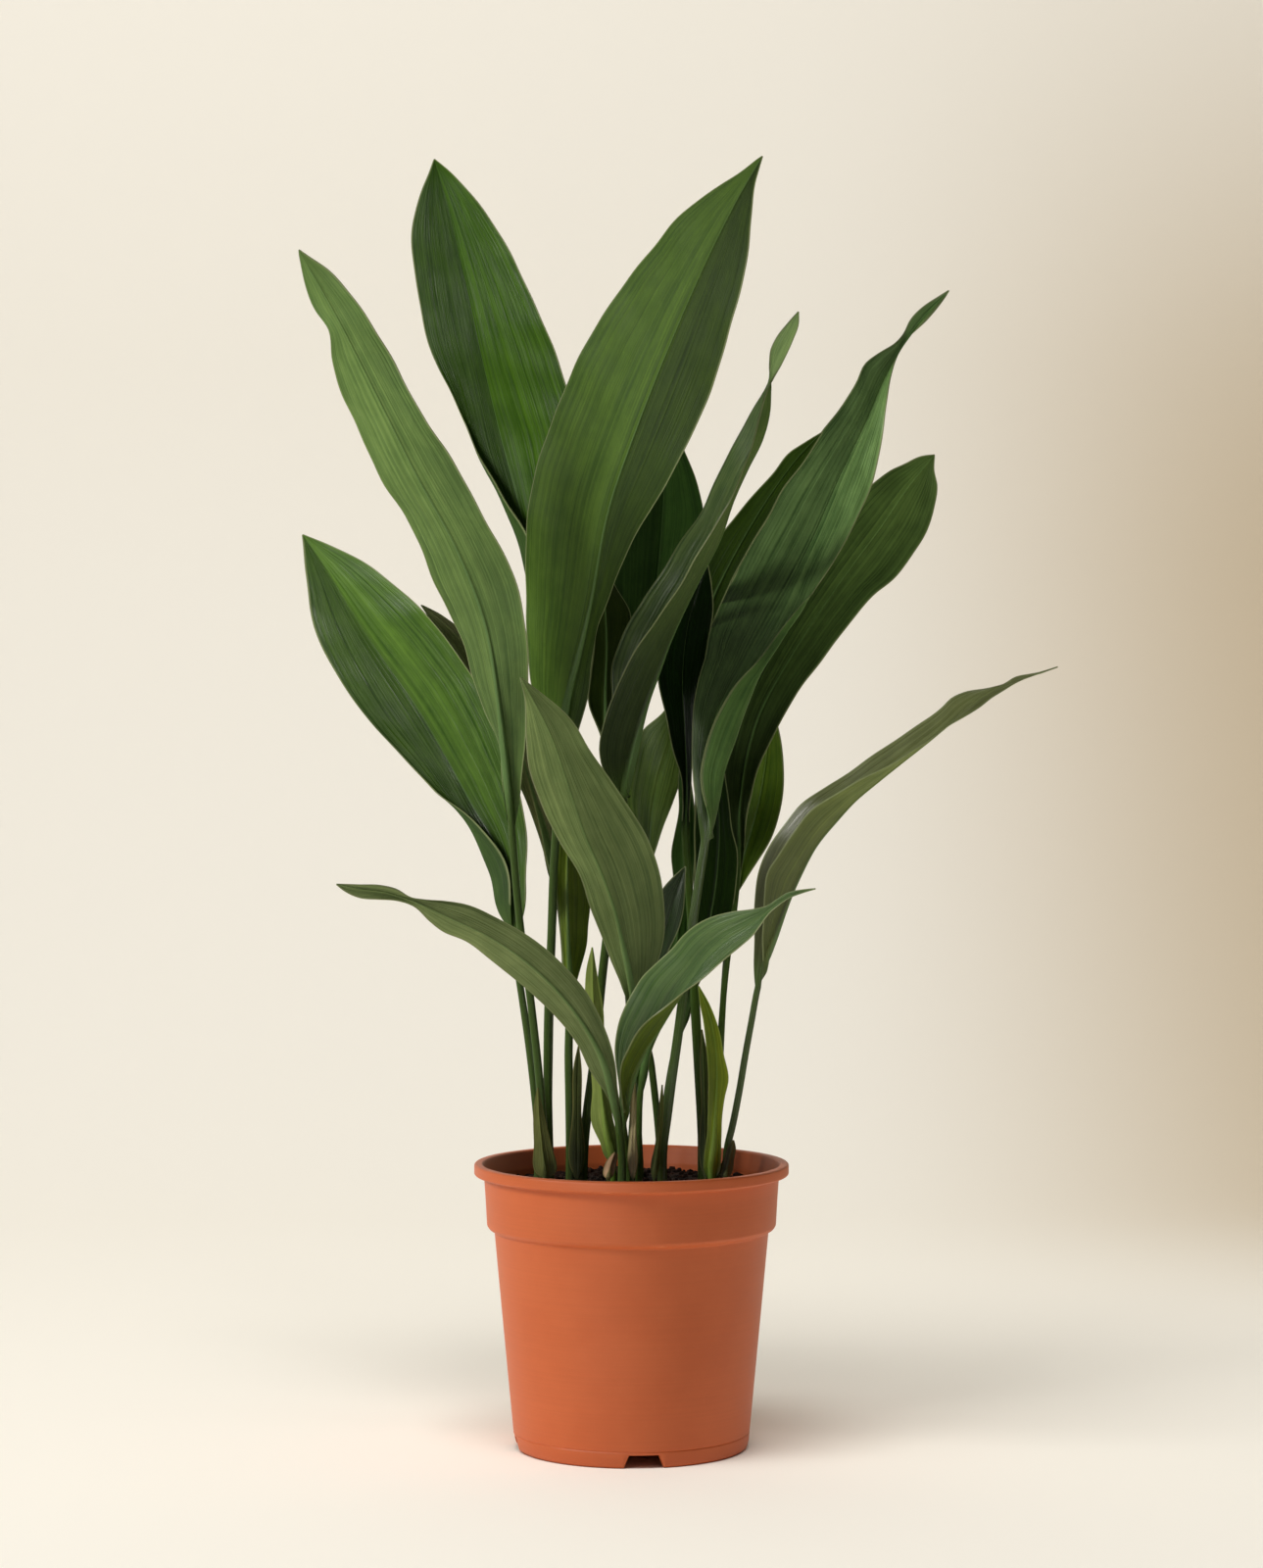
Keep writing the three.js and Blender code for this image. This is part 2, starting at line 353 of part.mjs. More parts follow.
    front: 'under', r: [2.8, 2.4], root: [54.5, -22],
    petiole: [],
    mid: [[53.6, 179, -22], [55, 204, -23], [56, 225, -24], [57, 247, -26], [56, 268, -28],
      [52, 289, -30], [44.8, 308, -32]],
    left: [[50.6, 184, 1], [51.3, 212, 2], [52, 243, 4], [50.5, 268, 4], [48.5, 286, 3], [46, 297, 1]],
    right: [[57, 184, 1], [59.5, 206, 2], [59.9, 220, 3], [61.5, 234, 4], [64, 246, 5],
      [60.5, 263, 4], [58, 278, 3], [51.5, 296, 1]]
  },
  sheath_a: {
    front: 'under', r: [1.2, 1], root: [-58, -25],
    petiole: [],
    mid: [[-58, 178.5, -25], [-59.6, 200, -24], [-61.6, 220, -22], [-62.6, 240, -20]],
    left: [[-63.2, 183, 3], [-64.6, 204, 3], [-64.8, 224, 2]],
    right: [[-52, 182, 3], [-54.2, 202, 3], [-58.2, 219, 2], [-61, 232, 1]]
  },
  sheath_b: {
    front: 'upper', r: [1.1, 0.8], root: [-36.5, -9],
    petiole: [],
    mid: [[-36.5, 178.5, -9], [-36.6, 215, -8], [-36.3, 245, -7], [-35.4, 268, -6]],
    left: [[-38.9, 183, 1], [-38.9, 225, 1], [-38.4, 254, 1]],
    right: [[-34, 183, 1], [-34, 225, 1], [-34, 256, 0]]
  },
  sheath_c: {
    front: 'upper', r: [1.1, 0.8], root: [1.2, -30],
    petiole: [],
    mid: [[1, 178.5, -30], [1.1, 205, -28], [1.5, 225, -27], [1.8, 246, -26]],
    left: [[-0.8, 183, 1], [-0.6, 212, 1], [0.2, 234, 0]],
    right: [[2.8, 183, 1], [2.8, 212, 1], [2.8, 234, 0]]
  },
  sheath_d: {
    front: 'under', r: [1.3, 1], root: [-15.5, -26],
    petiole: [],
    mid: [[-15.6, 178, -26], [-14, 188, -25], [-11, 197, -24]],
    left: [[-18, 181, 2], [-16.6, 190, 2], [-14, 194, 1]],
    right: [[-12.6, 182, 2], [-10.6, 190, 2], [-10, 195, 1]]
  },
  sheath_e: {
    front: 'under', r: [0.9, 0.7], root: [15, -25],
    petiole: [],
    mid: [[15, 178, -25], [17.8, 203, -23], [19.4, 223, -22], [20.5, 242, -21]],
    left: [[13.9, 182, 1], [16.7, 204, 1], [18.5, 222, 1]],
    right: [[16.3, 182, 1], [19, 204, 1], [20.6, 224, 1]]
  },
  sheath_f: {
    front: 'under', r: [1.1, 0.8], root: [49.5, -15],
    petiole: [],
    mid: [[49.4, 178.5, -15], [49, 215, -13], [48.4, 245, -12], [47, 279, -9]],
    left: [[47.6, 184, 1], [47.2, 230, 1], [46.4, 260, 1]],
    right: [[51, 184, 1], [50.6, 230, 1], [50, 262, 1]]
  },
  sheath_g: {
    front: 'under', r: [1.2, 0.9], root: [63.5, -20],
    petiole: [],
    mid: [[62.6, 178.5, -20], [65, 192, -19], [68.2, 205, -18]],
    left: [[59.6, 182, 2], [62.6, 194, 2], [66, 202, 1]],
    right: [[65.6, 182, 2], [68, 193, 2], [69.2, 200, 1]]
  }
};

const GREENS = {
  leaf_a: '#57733f', leaf_b: '#365a32', leaf_c: '#6b7254', leaf_d: '#355a2e', leaf_e: '#4a6a30',
  leaf_f: '#5f7760', leaf_g: '#5b7143', leaf_h: '#4d6a49', leaf_i: '#4e7022', leaf_j: '#3f6344',
  leaf_k: '#22331c', leaf_l: '#3f5130', leaf_m: '#4c7a1c', leaf_n: '#44662c', leaf_o: '#46662c',
  leaf_p: '#3d5240', leaf_q: '#4b7034', leaf_r: '#5c7446', leaf_s: '#4c6c24', leaf_t: '#66784c',
  leaf_u: '#587a5c', leaf_v: '#6f7c52', shoot_a: '#94ab46', shoot_b: '#84a034',
  sheath_a: '#6f7a4c', sheath_b: '#6d5230', sheath_c: '#b39a6a', sheath_d: '#b58f66',
  sheath_e: '#7a6240', sheath_f: '#5a4a2c', sheath_g: '#708050',
};

// Blades that show least of their form have fewer columns and rows
const PLAIN = new Set(['leaf_c', 'leaf_f', 'leaf_g', 'leaf_i', 'leaf_k', 'leaf_m', 'leaf_n', 'leaf_o',
  'leaf_p', 'leaf_q', 'leaf_s']);

// Columns in each half of a leaf, and rows along its stalk and its blade
const DETAIL = {
  small: { columns: 2, stalkRows: 3, bladeRows: 5, roughness: 0.7 },
  plain: { columns: 2, stalkRows: 5, bladeRows: 8, roughness: 0.45 },
  full: { columns: 3, stalkRows: 5, bladeRows: 12, roughness: 0.45 },
  twisted: { columns: 3, stalkRows: 5, bladeRows: 16, roughness: 0.45 },
};
const TWISTED_FROM_POINTS = 12;

function detailOf(name, leaf) {
  if (!name.startsWith('leaf')) return 'small';
  if (PLAIN.has(name)) return 'plain';
  return leaf.mid.length < TWISTED_FROM_POINTS ? 'full' : 'twisted';
}

const clamp01 = (v) => Math.min(Math.max(v, 0), 1);
const smooth = (v) => clamp01(v) ** 2 * (3 - 2 * clamp01(v));
const mix = (a, b, k) => a + (b - a) * k;
const add = (a, b, k = 1) => a.map((v, i) => v + b[i] * k);
const sub = (a, b) => a.map((v, i) => v - b[i]);
const length = (a) => Math.hypot(...a);
const cross = (a, b) => [
  a[1] * b[2] - a[2] * b[1],
  a[2] * b[0] - a[0] * b[2],
  a[0] * b[1] - a[1] * b[0],
];

// From the drawn view to the real place, and back for a place in the soil
function toReal([x, z, y]) {
  const k = (EYE_DISTANCE + y) / EYE_DISTANCE;
  return [x * k, y, EYE_Z + (z - EYE_Z) * k];
}

function toView(x, y, z) {
  const k = EYE_DISTANCE / (EYE_DISTANCE + y);
  return [x * k, EYE_Z + (z - EYE_Z) * k, y];
}

// A smooth line through the given points, read by distance along it in front view
function makeRail(points) {
  const STEPS = 8;
  const gapTo = (p, q) => Math.max(Math.hypot(p[0] - q[0], p[1] - q[1]), 0.5);
  const gaps = points.slice(1).map((p, i) => gapTo(p, points[i]));
  const slopes = gaps.map((h, i) => sub(points[i + 1], points[i]).map((v) => v / h));
  const tangents = points.map((_, i) => {
    if (i === 0) return slopes[0];
    if (i === points.length - 1) return slopes[i - 1];
    const total = gaps[i - 1] + gaps[i];
    return slopes[i].map((v, k) => (v * gaps[i - 1] + slopes[i - 1][k] * gaps[i]) / total);
  });
  const line = [];
  gaps.forEach((h, i) => {
    for (let step = 0; step < STEPS; step += 1) {
      const u = step / STEPS;
      const a = 2 * u ** 3 - 3 * u ** 2 + 1;
      const b = (u ** 3 - 2 * u ** 2 + u) * h;
      const c = 3 * u ** 2 - 2 * u ** 3;
      const d = (u ** 3 - u ** 2) * h;
      line.push([0, 1, 2].map((k) => a * points[i][k] + b * tangents[i][k]
        + c * points[i + 1][k] + d * tangents[i + 1][k]));
    }
  });
  line.push(points[points.length - 1]);
  const along = [0];
  for (let i = 1; i < line.length; i += 1) {
    along.push(along[i - 1] + Math.hypot(line[i][0] - line[i - 1][0], line[i][1] - line[i - 1][1]));
  }
  const total = along[along.length - 1];
  const at = (s) => {
    const place = Math.min(Math.max(s, 0), total);
    let i = 1;
    while (i < along.length - 1 && along[i] < place) i += 1;
    const k = (place - along[i - 1]) / Math.max(along[i] - along[i - 1], 1e-9);
    return line[i - 1].map((v, n) => mix(v, line[i][n], k));
  };
  return { at, total, knot: (i) => along[i * STEPS] };
}

// One half of a cross-section: places from the midrib to the margin, with the keel's depth at each
function halfSection(centre, edge, fold, radius, columns) {
  const width = Math.max(length(fold) + length(sub(edge, fold)), radius);
  const spread = smooth((width / radius - 1) / 1.5);
  const inner = radius * (0.5 + 0.5 * spread);
  const outer = mix(0.87 * radius, radius + 0.45 * (width - radius), spread);
  const joint = mix(0.75 * radius, radius + 0.25 * (width - radius), spread);
  const distances = columns === 3 ? [0, inner, outer, width] : [0, joint, width];
  return distances.map((d) => {
    const f = d / width;
    return {
      point: add(add(centre, fold, 4 * f * (1 - f)), edge, f * (2 * f - 1)),
      keel: KEEL_DEPTH * radius * Math.sqrt(Math.max(0, 1 - (d / radius) ** 2)),
      crown: 1 - STALK_CROWN * f ** 2,
    };
  });
}

function leafGeometry(leaf, columns, stalkRows, bladeRows) {
  const [footRadius, neckRadius] = leaf.r;
  const [rootX, rootY] = leaf.root;
  const centre = makeRail([
    toView(rootX, rootY, STALK_FOOT_Z),
    toView(rootX, rootY, STALK_STRAIGHT_TO_Z),
    ...leaf.petiole,
    ...leaf.mid,
  ]);
  const neck = centre.knot(2 + leaf.petiole.length);
  const base = [leaf.mid[0][0], leaf.mid[0][1], 0];
  const last = leaf.mid[leaf.mid.length - 1];
  const rail = (name) => (leaf[name] ? makeRail([base, ...leaf[name], [last[0], last[1], 0]]) : null);
  const rails = {
    left: rail('left'),
    right: rail('right'),
    foldLeft: rail('fold_left'),
    foldRight: rail('fold_right'),
  };
  const under = leaf.front === 'under';
  const rows = [];

  const addRow = (s, radius, edges, inBase) => {
    const middle = centre.at(s);
    const [dx, dz] = sub(centre.at(s + 1), centre.at(s - 1));
    const run = Math.hypot(dx, dz) || 1;
    const side = [dz / run, -dx / run, 0];
    const { left, right, foldLeft, foldRight } = edges(middle, side);
    const leftCells = halfSection(middle, left, foldLeft, radius, columns).slice(1).reverse();
    const rightCells = halfSection(middle, right, foldRight, radius, columns);
    rows.push({ cells: [...leftCells, ...rightCells], shift: (KEEL_DEPTH / 2) * radius * inBase });
  };

  for (let i = 0; i < stalkRows; i += 1) {
    const t = i / stalkRows;
    const radius = mix(footRadius, neckRadius, t);
    addRow(neck * t, radius, (middle, side) => ({
      left: side.map((v) => -v * radius),
      right: side.map((v) => v * radius),
      foldLeft: side.map((v) => (-v * radius) / 2),
      foldRight: side.map((v) => (v * radius) / 2),
    }), 1);
  }
  for (let i = 0; i <= bladeRows; i += 1) {
    const even = i / bladeRows;
    const t = mix(0.5 - 0.5 * Math.cos(Math.PI * even), even, EVEN_ROWS);
    const radius = KEEL_TIP_RADIUS + (neckRadius - KEEL_TIP_RADIUS) * (1 - t) ** KEEL_TAPER;
    const inBase = 1 - smooth(t / BASE_ZONE);
    const spread = Math.max(neckRadius * inBase, BLADE_TIP_HALF_WIDTH);
    addRow(mix(neck, centre.total, t), radius, (middle, side) => {
      const reach = (line, k) => add(sub(line.at(line.total * t), [middle[0], middle[1], 0]), side, k);
      const left = reach(rails.left, -spread);
      const right = reach(rails.right, spread);
      const bow = under ? HALF_BOW : -HALF_BOW;
      const arch = (edge) => add(edge.map((v) => v / 2), [0, 0, 1], bow * length(edge));
      return {
        left,
        right,
        foldLeft: rails.foldLeft ? reach(rails.foldLeft, -spread / 2) : arch(left),
        foldRight: rails.foldRight ? reach(rails.foldRight, spread / 2) : arch(right),
      };
    }, inBase);
  }

  // Upper skin, then the under skin set off along the blade's own normal
  const upper = rows.map((row) => row.cells.map((cell) => toReal(cell.point)));
  const count = upper[0].length;
  const normals = upper.map((row, i) => row.map((_, j) => {
    const before = upper[Math.max(i - 1, 0)][j];
    const after = upper[Math.min(i + 1, upper.length - 1)][j];
    const across = sub(row[Math.min(j + 1, count - 1)], row[Math.max(j - 1, 0)]);
    const normal = cross(sub(after, before), across);
    const size = Math.max(length(normal), 1e-9);
    return normal.map((v) => ((under ? -1 : 1) * v) / size);
  }));
  const centreColumn = (count - 1) / 2;
  const positions = [];
  const skin = rows.map((row, i) => upper[i].map((p, j) => (
    add(p, normals[i][centreColumn], -row.shift * row.cells[j].crown)
  )));
  skin.forEach((row) => row.forEach((p) => positions.push(...p)));
  skin.forEach((row, i) => row.forEach((p, j) => {
    positions.push(...add(p, normals[i][j], BLADE_THICKNESS + rows[i].cells[j].keel));
  }));

  const u = (i, j) => i * count + j;
  const d = (i, j) => rows.length * count + i * count + j;
  const index = [];
  const quad = (a, b, c, e) => index.push(...(under ? [a, c, b, a, e, c] : [a, b, c, a, c, e]));
  const end = rows.length - 1;
  for (let i = 0; i < end; i += 1) {
    for (let j = 0; j < count - 1; j += 1) {
      quad(u(i, j), u(i, j + 1), u(i + 1, j + 1), u(i + 1, j));
      quad(d(i, j), d(i + 1, j), d(i + 1, j + 1), d(i, j + 1));
    }
    quad(u(i, 0), u(i + 1, 0), d(i + 1, 0), d(i, 0));
    quad(u(i, count - 1), d(i, count - 1), d(i + 1, count - 1), u(i + 1, count - 1));
  }
  for (let j = 0; j < count - 1; j += 1) {
    quad(u(0, j), d(0, j), d(0, j + 1), u(0, j + 1));
    quad(u(end, j), u(end, j + 1), d(end, j + 1), d(end, j));
  }
  const geometry = new THREE.BufferGeometry();
  geometry.setAttribute('position', new THREE.Float32BufferAttribute(positions, 3));
  geometry.setIndex(index);
  return geometry;
}

// A closed solid of revolution about Z from an outline of [radius, z], inside on the left
function turned(outline, sides) {
  const geometry = new THREE.LatheGeometry(outline.map(([r, z]) => new THREE.Vector2(r, z)), sides);
  geometry.rotateX(Math.PI / 2);
  return toSolid(geometry);
}

function toSolid(geometry) {
  const plain = geometry.clone();
  plain.deleteAttribute('normal');
  plain.deleteAttribute('uv');
  const merged = mergeVertices(plain, 1e-4);
  const triangles = [];
  for (let i = 0; i < merged.index.count; i += 3) {
    const [a, b, c] = [0, 1, 2].map((k) => merged.index.getX(i + k));
    if (a !== b && b !== c && a !== c) triangles.push(a, b, c);
  }
  return new wasm.Manifold(new wasm.Mesh({
    numProp: 3,
    vertProperties: new Float32Array(merged.attributes.position.array),
    triVerts: new Uint32Array(triangles),
  }));
}

function fromSolid(solid) {
  const result = solid.getMesh();
  const geometry = new THREE.BufferGeometry();
  geometry.setAttribute('position', new THREE.Float32BufferAttribute(result.vertProperties, 3));
  geometry.setIndex(Array.from(result.triVerts));
  return geometry;
}

function potSolid() {
  const taper = (z) => mix(BODY_FOOT_RADIUS, BODY_TOP_RADIUS, z / COLLAR_FOOT_Z);
  const floorTop = RAISED_FLOOR_Z + FLOOR_THICKNESS;
  const body = turned([
    [0, 0],
    [PAD_RADIUS, 0],
    [PAD_RADIUS + 2, RAISED_FLOOR_Z],
    [73.6, RAISED_FLOOR_Z],
    [74, 0],
    [76, 0],
    [77.6, 1.6],
    [taper(5), 5],
    [taper(10.4), 10.4],
    [taper(11) - 0.4, 11],
    [taper(11.6), 11.6],
    [taper(60), 60],
    [BODY_TOP_RADIUS - 0.4, COLLAR_FOOT_Z - 3],
    [COLLAR_FOOT_RADIUS - 1.4, COLLAR_FOOT_Z - 1.2],
    [COLLAR_FOOT_RADIUS, COLLAR_FOOT_Z + 0.8],
    [COLLAR_TOP_RADIUS, 180],
    [RIM_RADIUS - 1, 183],
    [RIM_RADIUS, 184.5],
    [RIM_RADIUS, POT_HEIGHT - 1.4],
    [RIM_RADIUS - 1.4, POT_HEIGHT],
    [RIM_MOUTH_RADIUS + 1.6, POT_HEIGHT],
    [RIM_MOUTH_RADIUS, POT_HEIGHT - 2],
    [COLLAR_TOP_RADIUS - WALL, 178],
    [COLLAR_FOOT_RADIUS - WALL, COLLAR_FOOT_Z + 2],
    [BODY_TOP_RADIUS - WALL, COLLAR_FOOT_Z - 4],
    [taper(floorTop) - WALL, floorTop],
    [PAD_RADIUS, floorTop],
    [PAD_RADIUS - 2, FLOOR_THICKNESS],
    [0, FLOOR_THICKNESS],
  ], POT_SIDES);
  const notch = new THREE.Shape([
    new THREE.Vector2(-NOTCH_FOOT_WIDTH / 2, -1),
    new THREE.Vector2(NOTCH_FOOT_WIDTH / 2, -1),
    new THREE.Vector2(NOTCH_HEAD_WIDTH / 2, NOTCH_HEIGHT),
    new THREE.Vector2(-NOTCH_HEAD_WIDTH / 2, NOTCH_HEIGHT),
  ]);
  const cutters = [];
  for (let i = 0; i < NOTCH_COUNT; i += 1) {
    const geometry = new THREE.ExtrudeGeometry(notch, { depth: NOTCH_CUT_DEPTH, bevelEnabled: false });
    geometry.rotateX(Math.PI / 2);
    geometry.translate(0, NOTCH_CUT_DEPTH / 2 - BODY_FOOT_RADIUS, 0);
    geometry.rotateZ(NOTCH_TURN + (i * 2 * Math.PI) / NOTCH_COUNT);
    cutters.push(toSolid(geometry));
  }
  for (let i = 0; i < DRAIN_COUNT; i += 1) {
    const angle = ((i + 0.5) * 2 * Math.PI) / DRAIN_COUNT;
    const drain = new THREE.CylinderGeometry(DRAIN_RADIUS, DRAIN_RADIUS, 10, 16);
    drain.rotateX(Math.PI / 2);
    const [x, y] = [DRAIN_RING_RADIUS * Math.cos(angle), DRAIN_RING_RADIUS * Math.sin(angle)];
    drain.translate(x, y, RAISED_FLOOR_Z + 1);
    cutters.push(toSolid(drain));
  }
  return cutters.reduce((solid, cutter) => solid.subtract(cutter), body);
}

function soilSolid() {
  const wallAt = (z) => mix(BODY_FOOT_RADIUS, BODY_TOP_RADIUS, z / COLLAR_FOOT_Z) - WALL - SOIL_GAP;
  const floorTop = RAISED_FLOOR_Z + FLOOR_THICKNESS + SOIL_GAP;
  const fill = turned([
    [0, FLOOR_THICKNESS + SOIL_GAP],
    [PAD_RADIUS - 2.6, FLOOR_THICKNESS + SOIL_GAP],
    [PAD_RADIUS - 0.6, floorTop],
    [wallAt(floorTop) - 0.3, floorTop],
    [BODY_TOP_RADIUS - WALL - 1, COLLAR_FOOT_Z - 3.5],
    [COLLAR_FOOT_RADIUS - WALL - 1, COLLAR_FOOT_Z + 3.5],
    [COLLAR_TOP_RADIUS - WALL - 0.9, SOIL_EDGE_Z],
    [62, SOIL_CENTRE_Z - 0.5],
    [0, SOIL_CENTRE_Z],
  ], SOIL_SIDES);
  const holes = Object.values(LEAVES).map(({ root: [x, y], r: [radius] }) => {
    const bore = HOLE_SCALE * radius + HOLE_CLEARANCE;
    const hole = new THREE.CylinderGeometry(bore, bore, 40, 10);
    hole.rotateX(Math.PI / 2);
    hole.translate(x, y, STALK_FOOT_Z - 0.5 + 20);
    return toSolid(hole);
  });
  return holes.reduce((solid, hole) => solid.subtract(hole), fill);
}

const group = new THREE.Group();
group.name = 'potted_cast_iron_plant';

function addPart(name, geometry, color, roughness) {
  const material = new THREE.MeshStandardMaterial({ color, roughness, metalness: 0 });
  const mesh = new THREE.Mesh(geometry, material);
  mesh.name = name;
  group.add(mesh);
}

addPart('pot', fromSolid(potSolid()), '#c86a42', 0.6);
addPart('soil', fromSolid(soilSolid()), '#2c231e', 0.95);
Object.entries(LEAVES).forEach(([name, leaf]) => {
  const { columns, stalkRows, bladeRows, roughness } = DETAIL[detailOf(name, leaf)];
  addPart(name, leafGeometry(leaf, columns, stalkRows, bladeRows), GREENS[name], roughness);
});

export default group;
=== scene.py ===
# Looks of a potted cast iron plant, in metres, +Z up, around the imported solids.
import math
import random

import bmesh
import bpy
import numpy as np
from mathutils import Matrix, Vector, noise


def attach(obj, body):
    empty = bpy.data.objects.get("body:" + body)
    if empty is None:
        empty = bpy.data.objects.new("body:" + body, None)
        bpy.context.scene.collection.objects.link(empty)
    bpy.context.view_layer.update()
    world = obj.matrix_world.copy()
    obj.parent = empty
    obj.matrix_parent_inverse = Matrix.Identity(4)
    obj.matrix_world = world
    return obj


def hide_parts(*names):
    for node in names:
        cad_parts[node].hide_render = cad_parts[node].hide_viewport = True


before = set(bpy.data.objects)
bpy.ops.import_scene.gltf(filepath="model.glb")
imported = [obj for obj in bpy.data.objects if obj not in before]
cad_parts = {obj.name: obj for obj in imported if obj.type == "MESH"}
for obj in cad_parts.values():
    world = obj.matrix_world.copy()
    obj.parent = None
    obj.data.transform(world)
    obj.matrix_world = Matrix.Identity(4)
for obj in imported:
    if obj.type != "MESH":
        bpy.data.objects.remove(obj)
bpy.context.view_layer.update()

MM = 0.001

# The view: distance in front of the pot's axis, height, downward tilt and lens
EYE_DISTANCE = 2550.0
EYE_Z = 502.0
EYE_TILT = 1.327
EYE_LENS = 87.86

# Pot, in millimetres, to follow its solid
POT_HEIGHT = 190.0
RIM_RADIUS = 105.0
RIM_MOUTH_RADIUS = 99.0
COLLAR_TOP_RADIUS = 98.5
COLLAR_FOOT_RADIUS = 96.5
COLLAR_FOOT_Z = 148.0
BODY_TOP_RADIUS = 92.0
BODY_FOOT_RADIUS = 78.0
WALL = 2.6
PAD_RADIUS = 38.0
FOOT_INNER_RADIUS = 73.6
FOOT_MIDDLE_RADIUS = 75.0
FOOT_BLEND_Z = 10.0
RAISED_FLOOR_Z = 8.5
FLOOR_TOP_Z = 11.1
NOTCH_FOOT_WIDTH = 26.0
NOTCH_HEAD_WIDTH = 19.0
NOTCH_TOP_Z = 8.4
NOTCH_TURN = math.asin(8.3 / BODY_FOOT_RADIUS)
DRAIN_COUNT = 8
DRAIN_RADIUS = 4.5
DRAIN_RING_RADIUS = 57.0
DRILL_LENGTH = 10
CORNER_STEPS = 4
POT_STEPS = 240
POT_SHARP = 38

# Soil, to follow its solid
SOIL_EDGE_RADIUS = 94.0
SOIL_EDGE_Z = 173.5
SOIL_CENTRE_Z = 176.0
SOIL_RADIUS = 94.4
SOIL_TURNS = 220
SOIL_RINGS = 90
# Lumps of its surface: height, spacing and layer of noise
SOIL_LUMPS = ((1.5, 14, 3.1), (1.1, 5, 8.4), (0.7, 2.2, 1.7))
CRUMBS = 1400
CRUMB_SEED = 41
CRUMB_REACH = 93.0
CRUMB_LEAST, CRUMB_SPAN = 0.6, 2.2
CRUMB_SINK, CRUMB_STRETCH = (-0.1, 0.55), (0.6, 1.4)

# Stalks and blades, to follow their solids
STALK_FOOT_Z = 153.0
STALK_STRAIGHT_TO_Z = 172.0
BLADE_THICKNESS = 0.8
KEEL_DEPTH = 1.7
KEEL_TIP_RADIUS = 0.35
KEEL_TAPER = 2.2
CREASE_SHARE = 0.45
CREASE_FROM = 0.08
CREASE_RUN = 0.3
SINK_SHARE = 0.85
BASE_SHARE = 0.15
EVEN_ROWS = 0.35
HALF_BOW = 0.05
KEEL_FLATTENING, KEEL_FLAT_AT = 0.65, 0.4
JOINT_LEAST, JOINT_SPAN, JOINT_RUN = 0.6, 0.5, 1.5
RAIL_STEPS = 8

# Relief of a blade: height and spacing of its ribs, waves and ripples, and the groove on its midrib
BROAD_RIB, BROAD_RIB_PITCH = 0.16, 9.5
FINE_RIB, FINE_RIB_PITCH = 0.07, 4.6
WAVE, WAVE_LENGTHS = 1.5, (75, 110)
RIPPLE, RIPPLE_LENGTH = 0.4, 34
GROOVE_DEPTH = 0.5
FULL_RELIEF_WIDTH = 35
RELIEF_START, RELIEF_END = 0.12, 0.06
RIB_GAP = 3.0
# Phases drawn for each blade, of which six are used: all stay, so that the draws keep their order
PHASES = 8
# What the material reads: step between the grains of two leaves, reach of the midrib, and the margin
GRAIN_STEP = 3.7
MIDRIB_REACH = 4
NO_MARGIN = 99.0
BASE_MARGIN, BASE_MARGIN_RUN = 30, 0.06

# Grids: rows along the stalk and the blade, columns over half the midrib and over a half
FINE_GRID = (34, 120, 5, 24)
PLAIN_GRID = (30, 90, 5, 16)
SMALL_GRID = (16, 60, 4, 8)
PLAIN_LEAVES = {"leaf_c", "leaf_f", "leaf_g", "leaf_i", "leaf_k", "leaf_m", "leaf_n", "leaf_o", "leaf_p",
                "leaf_q", "leaf_s"}

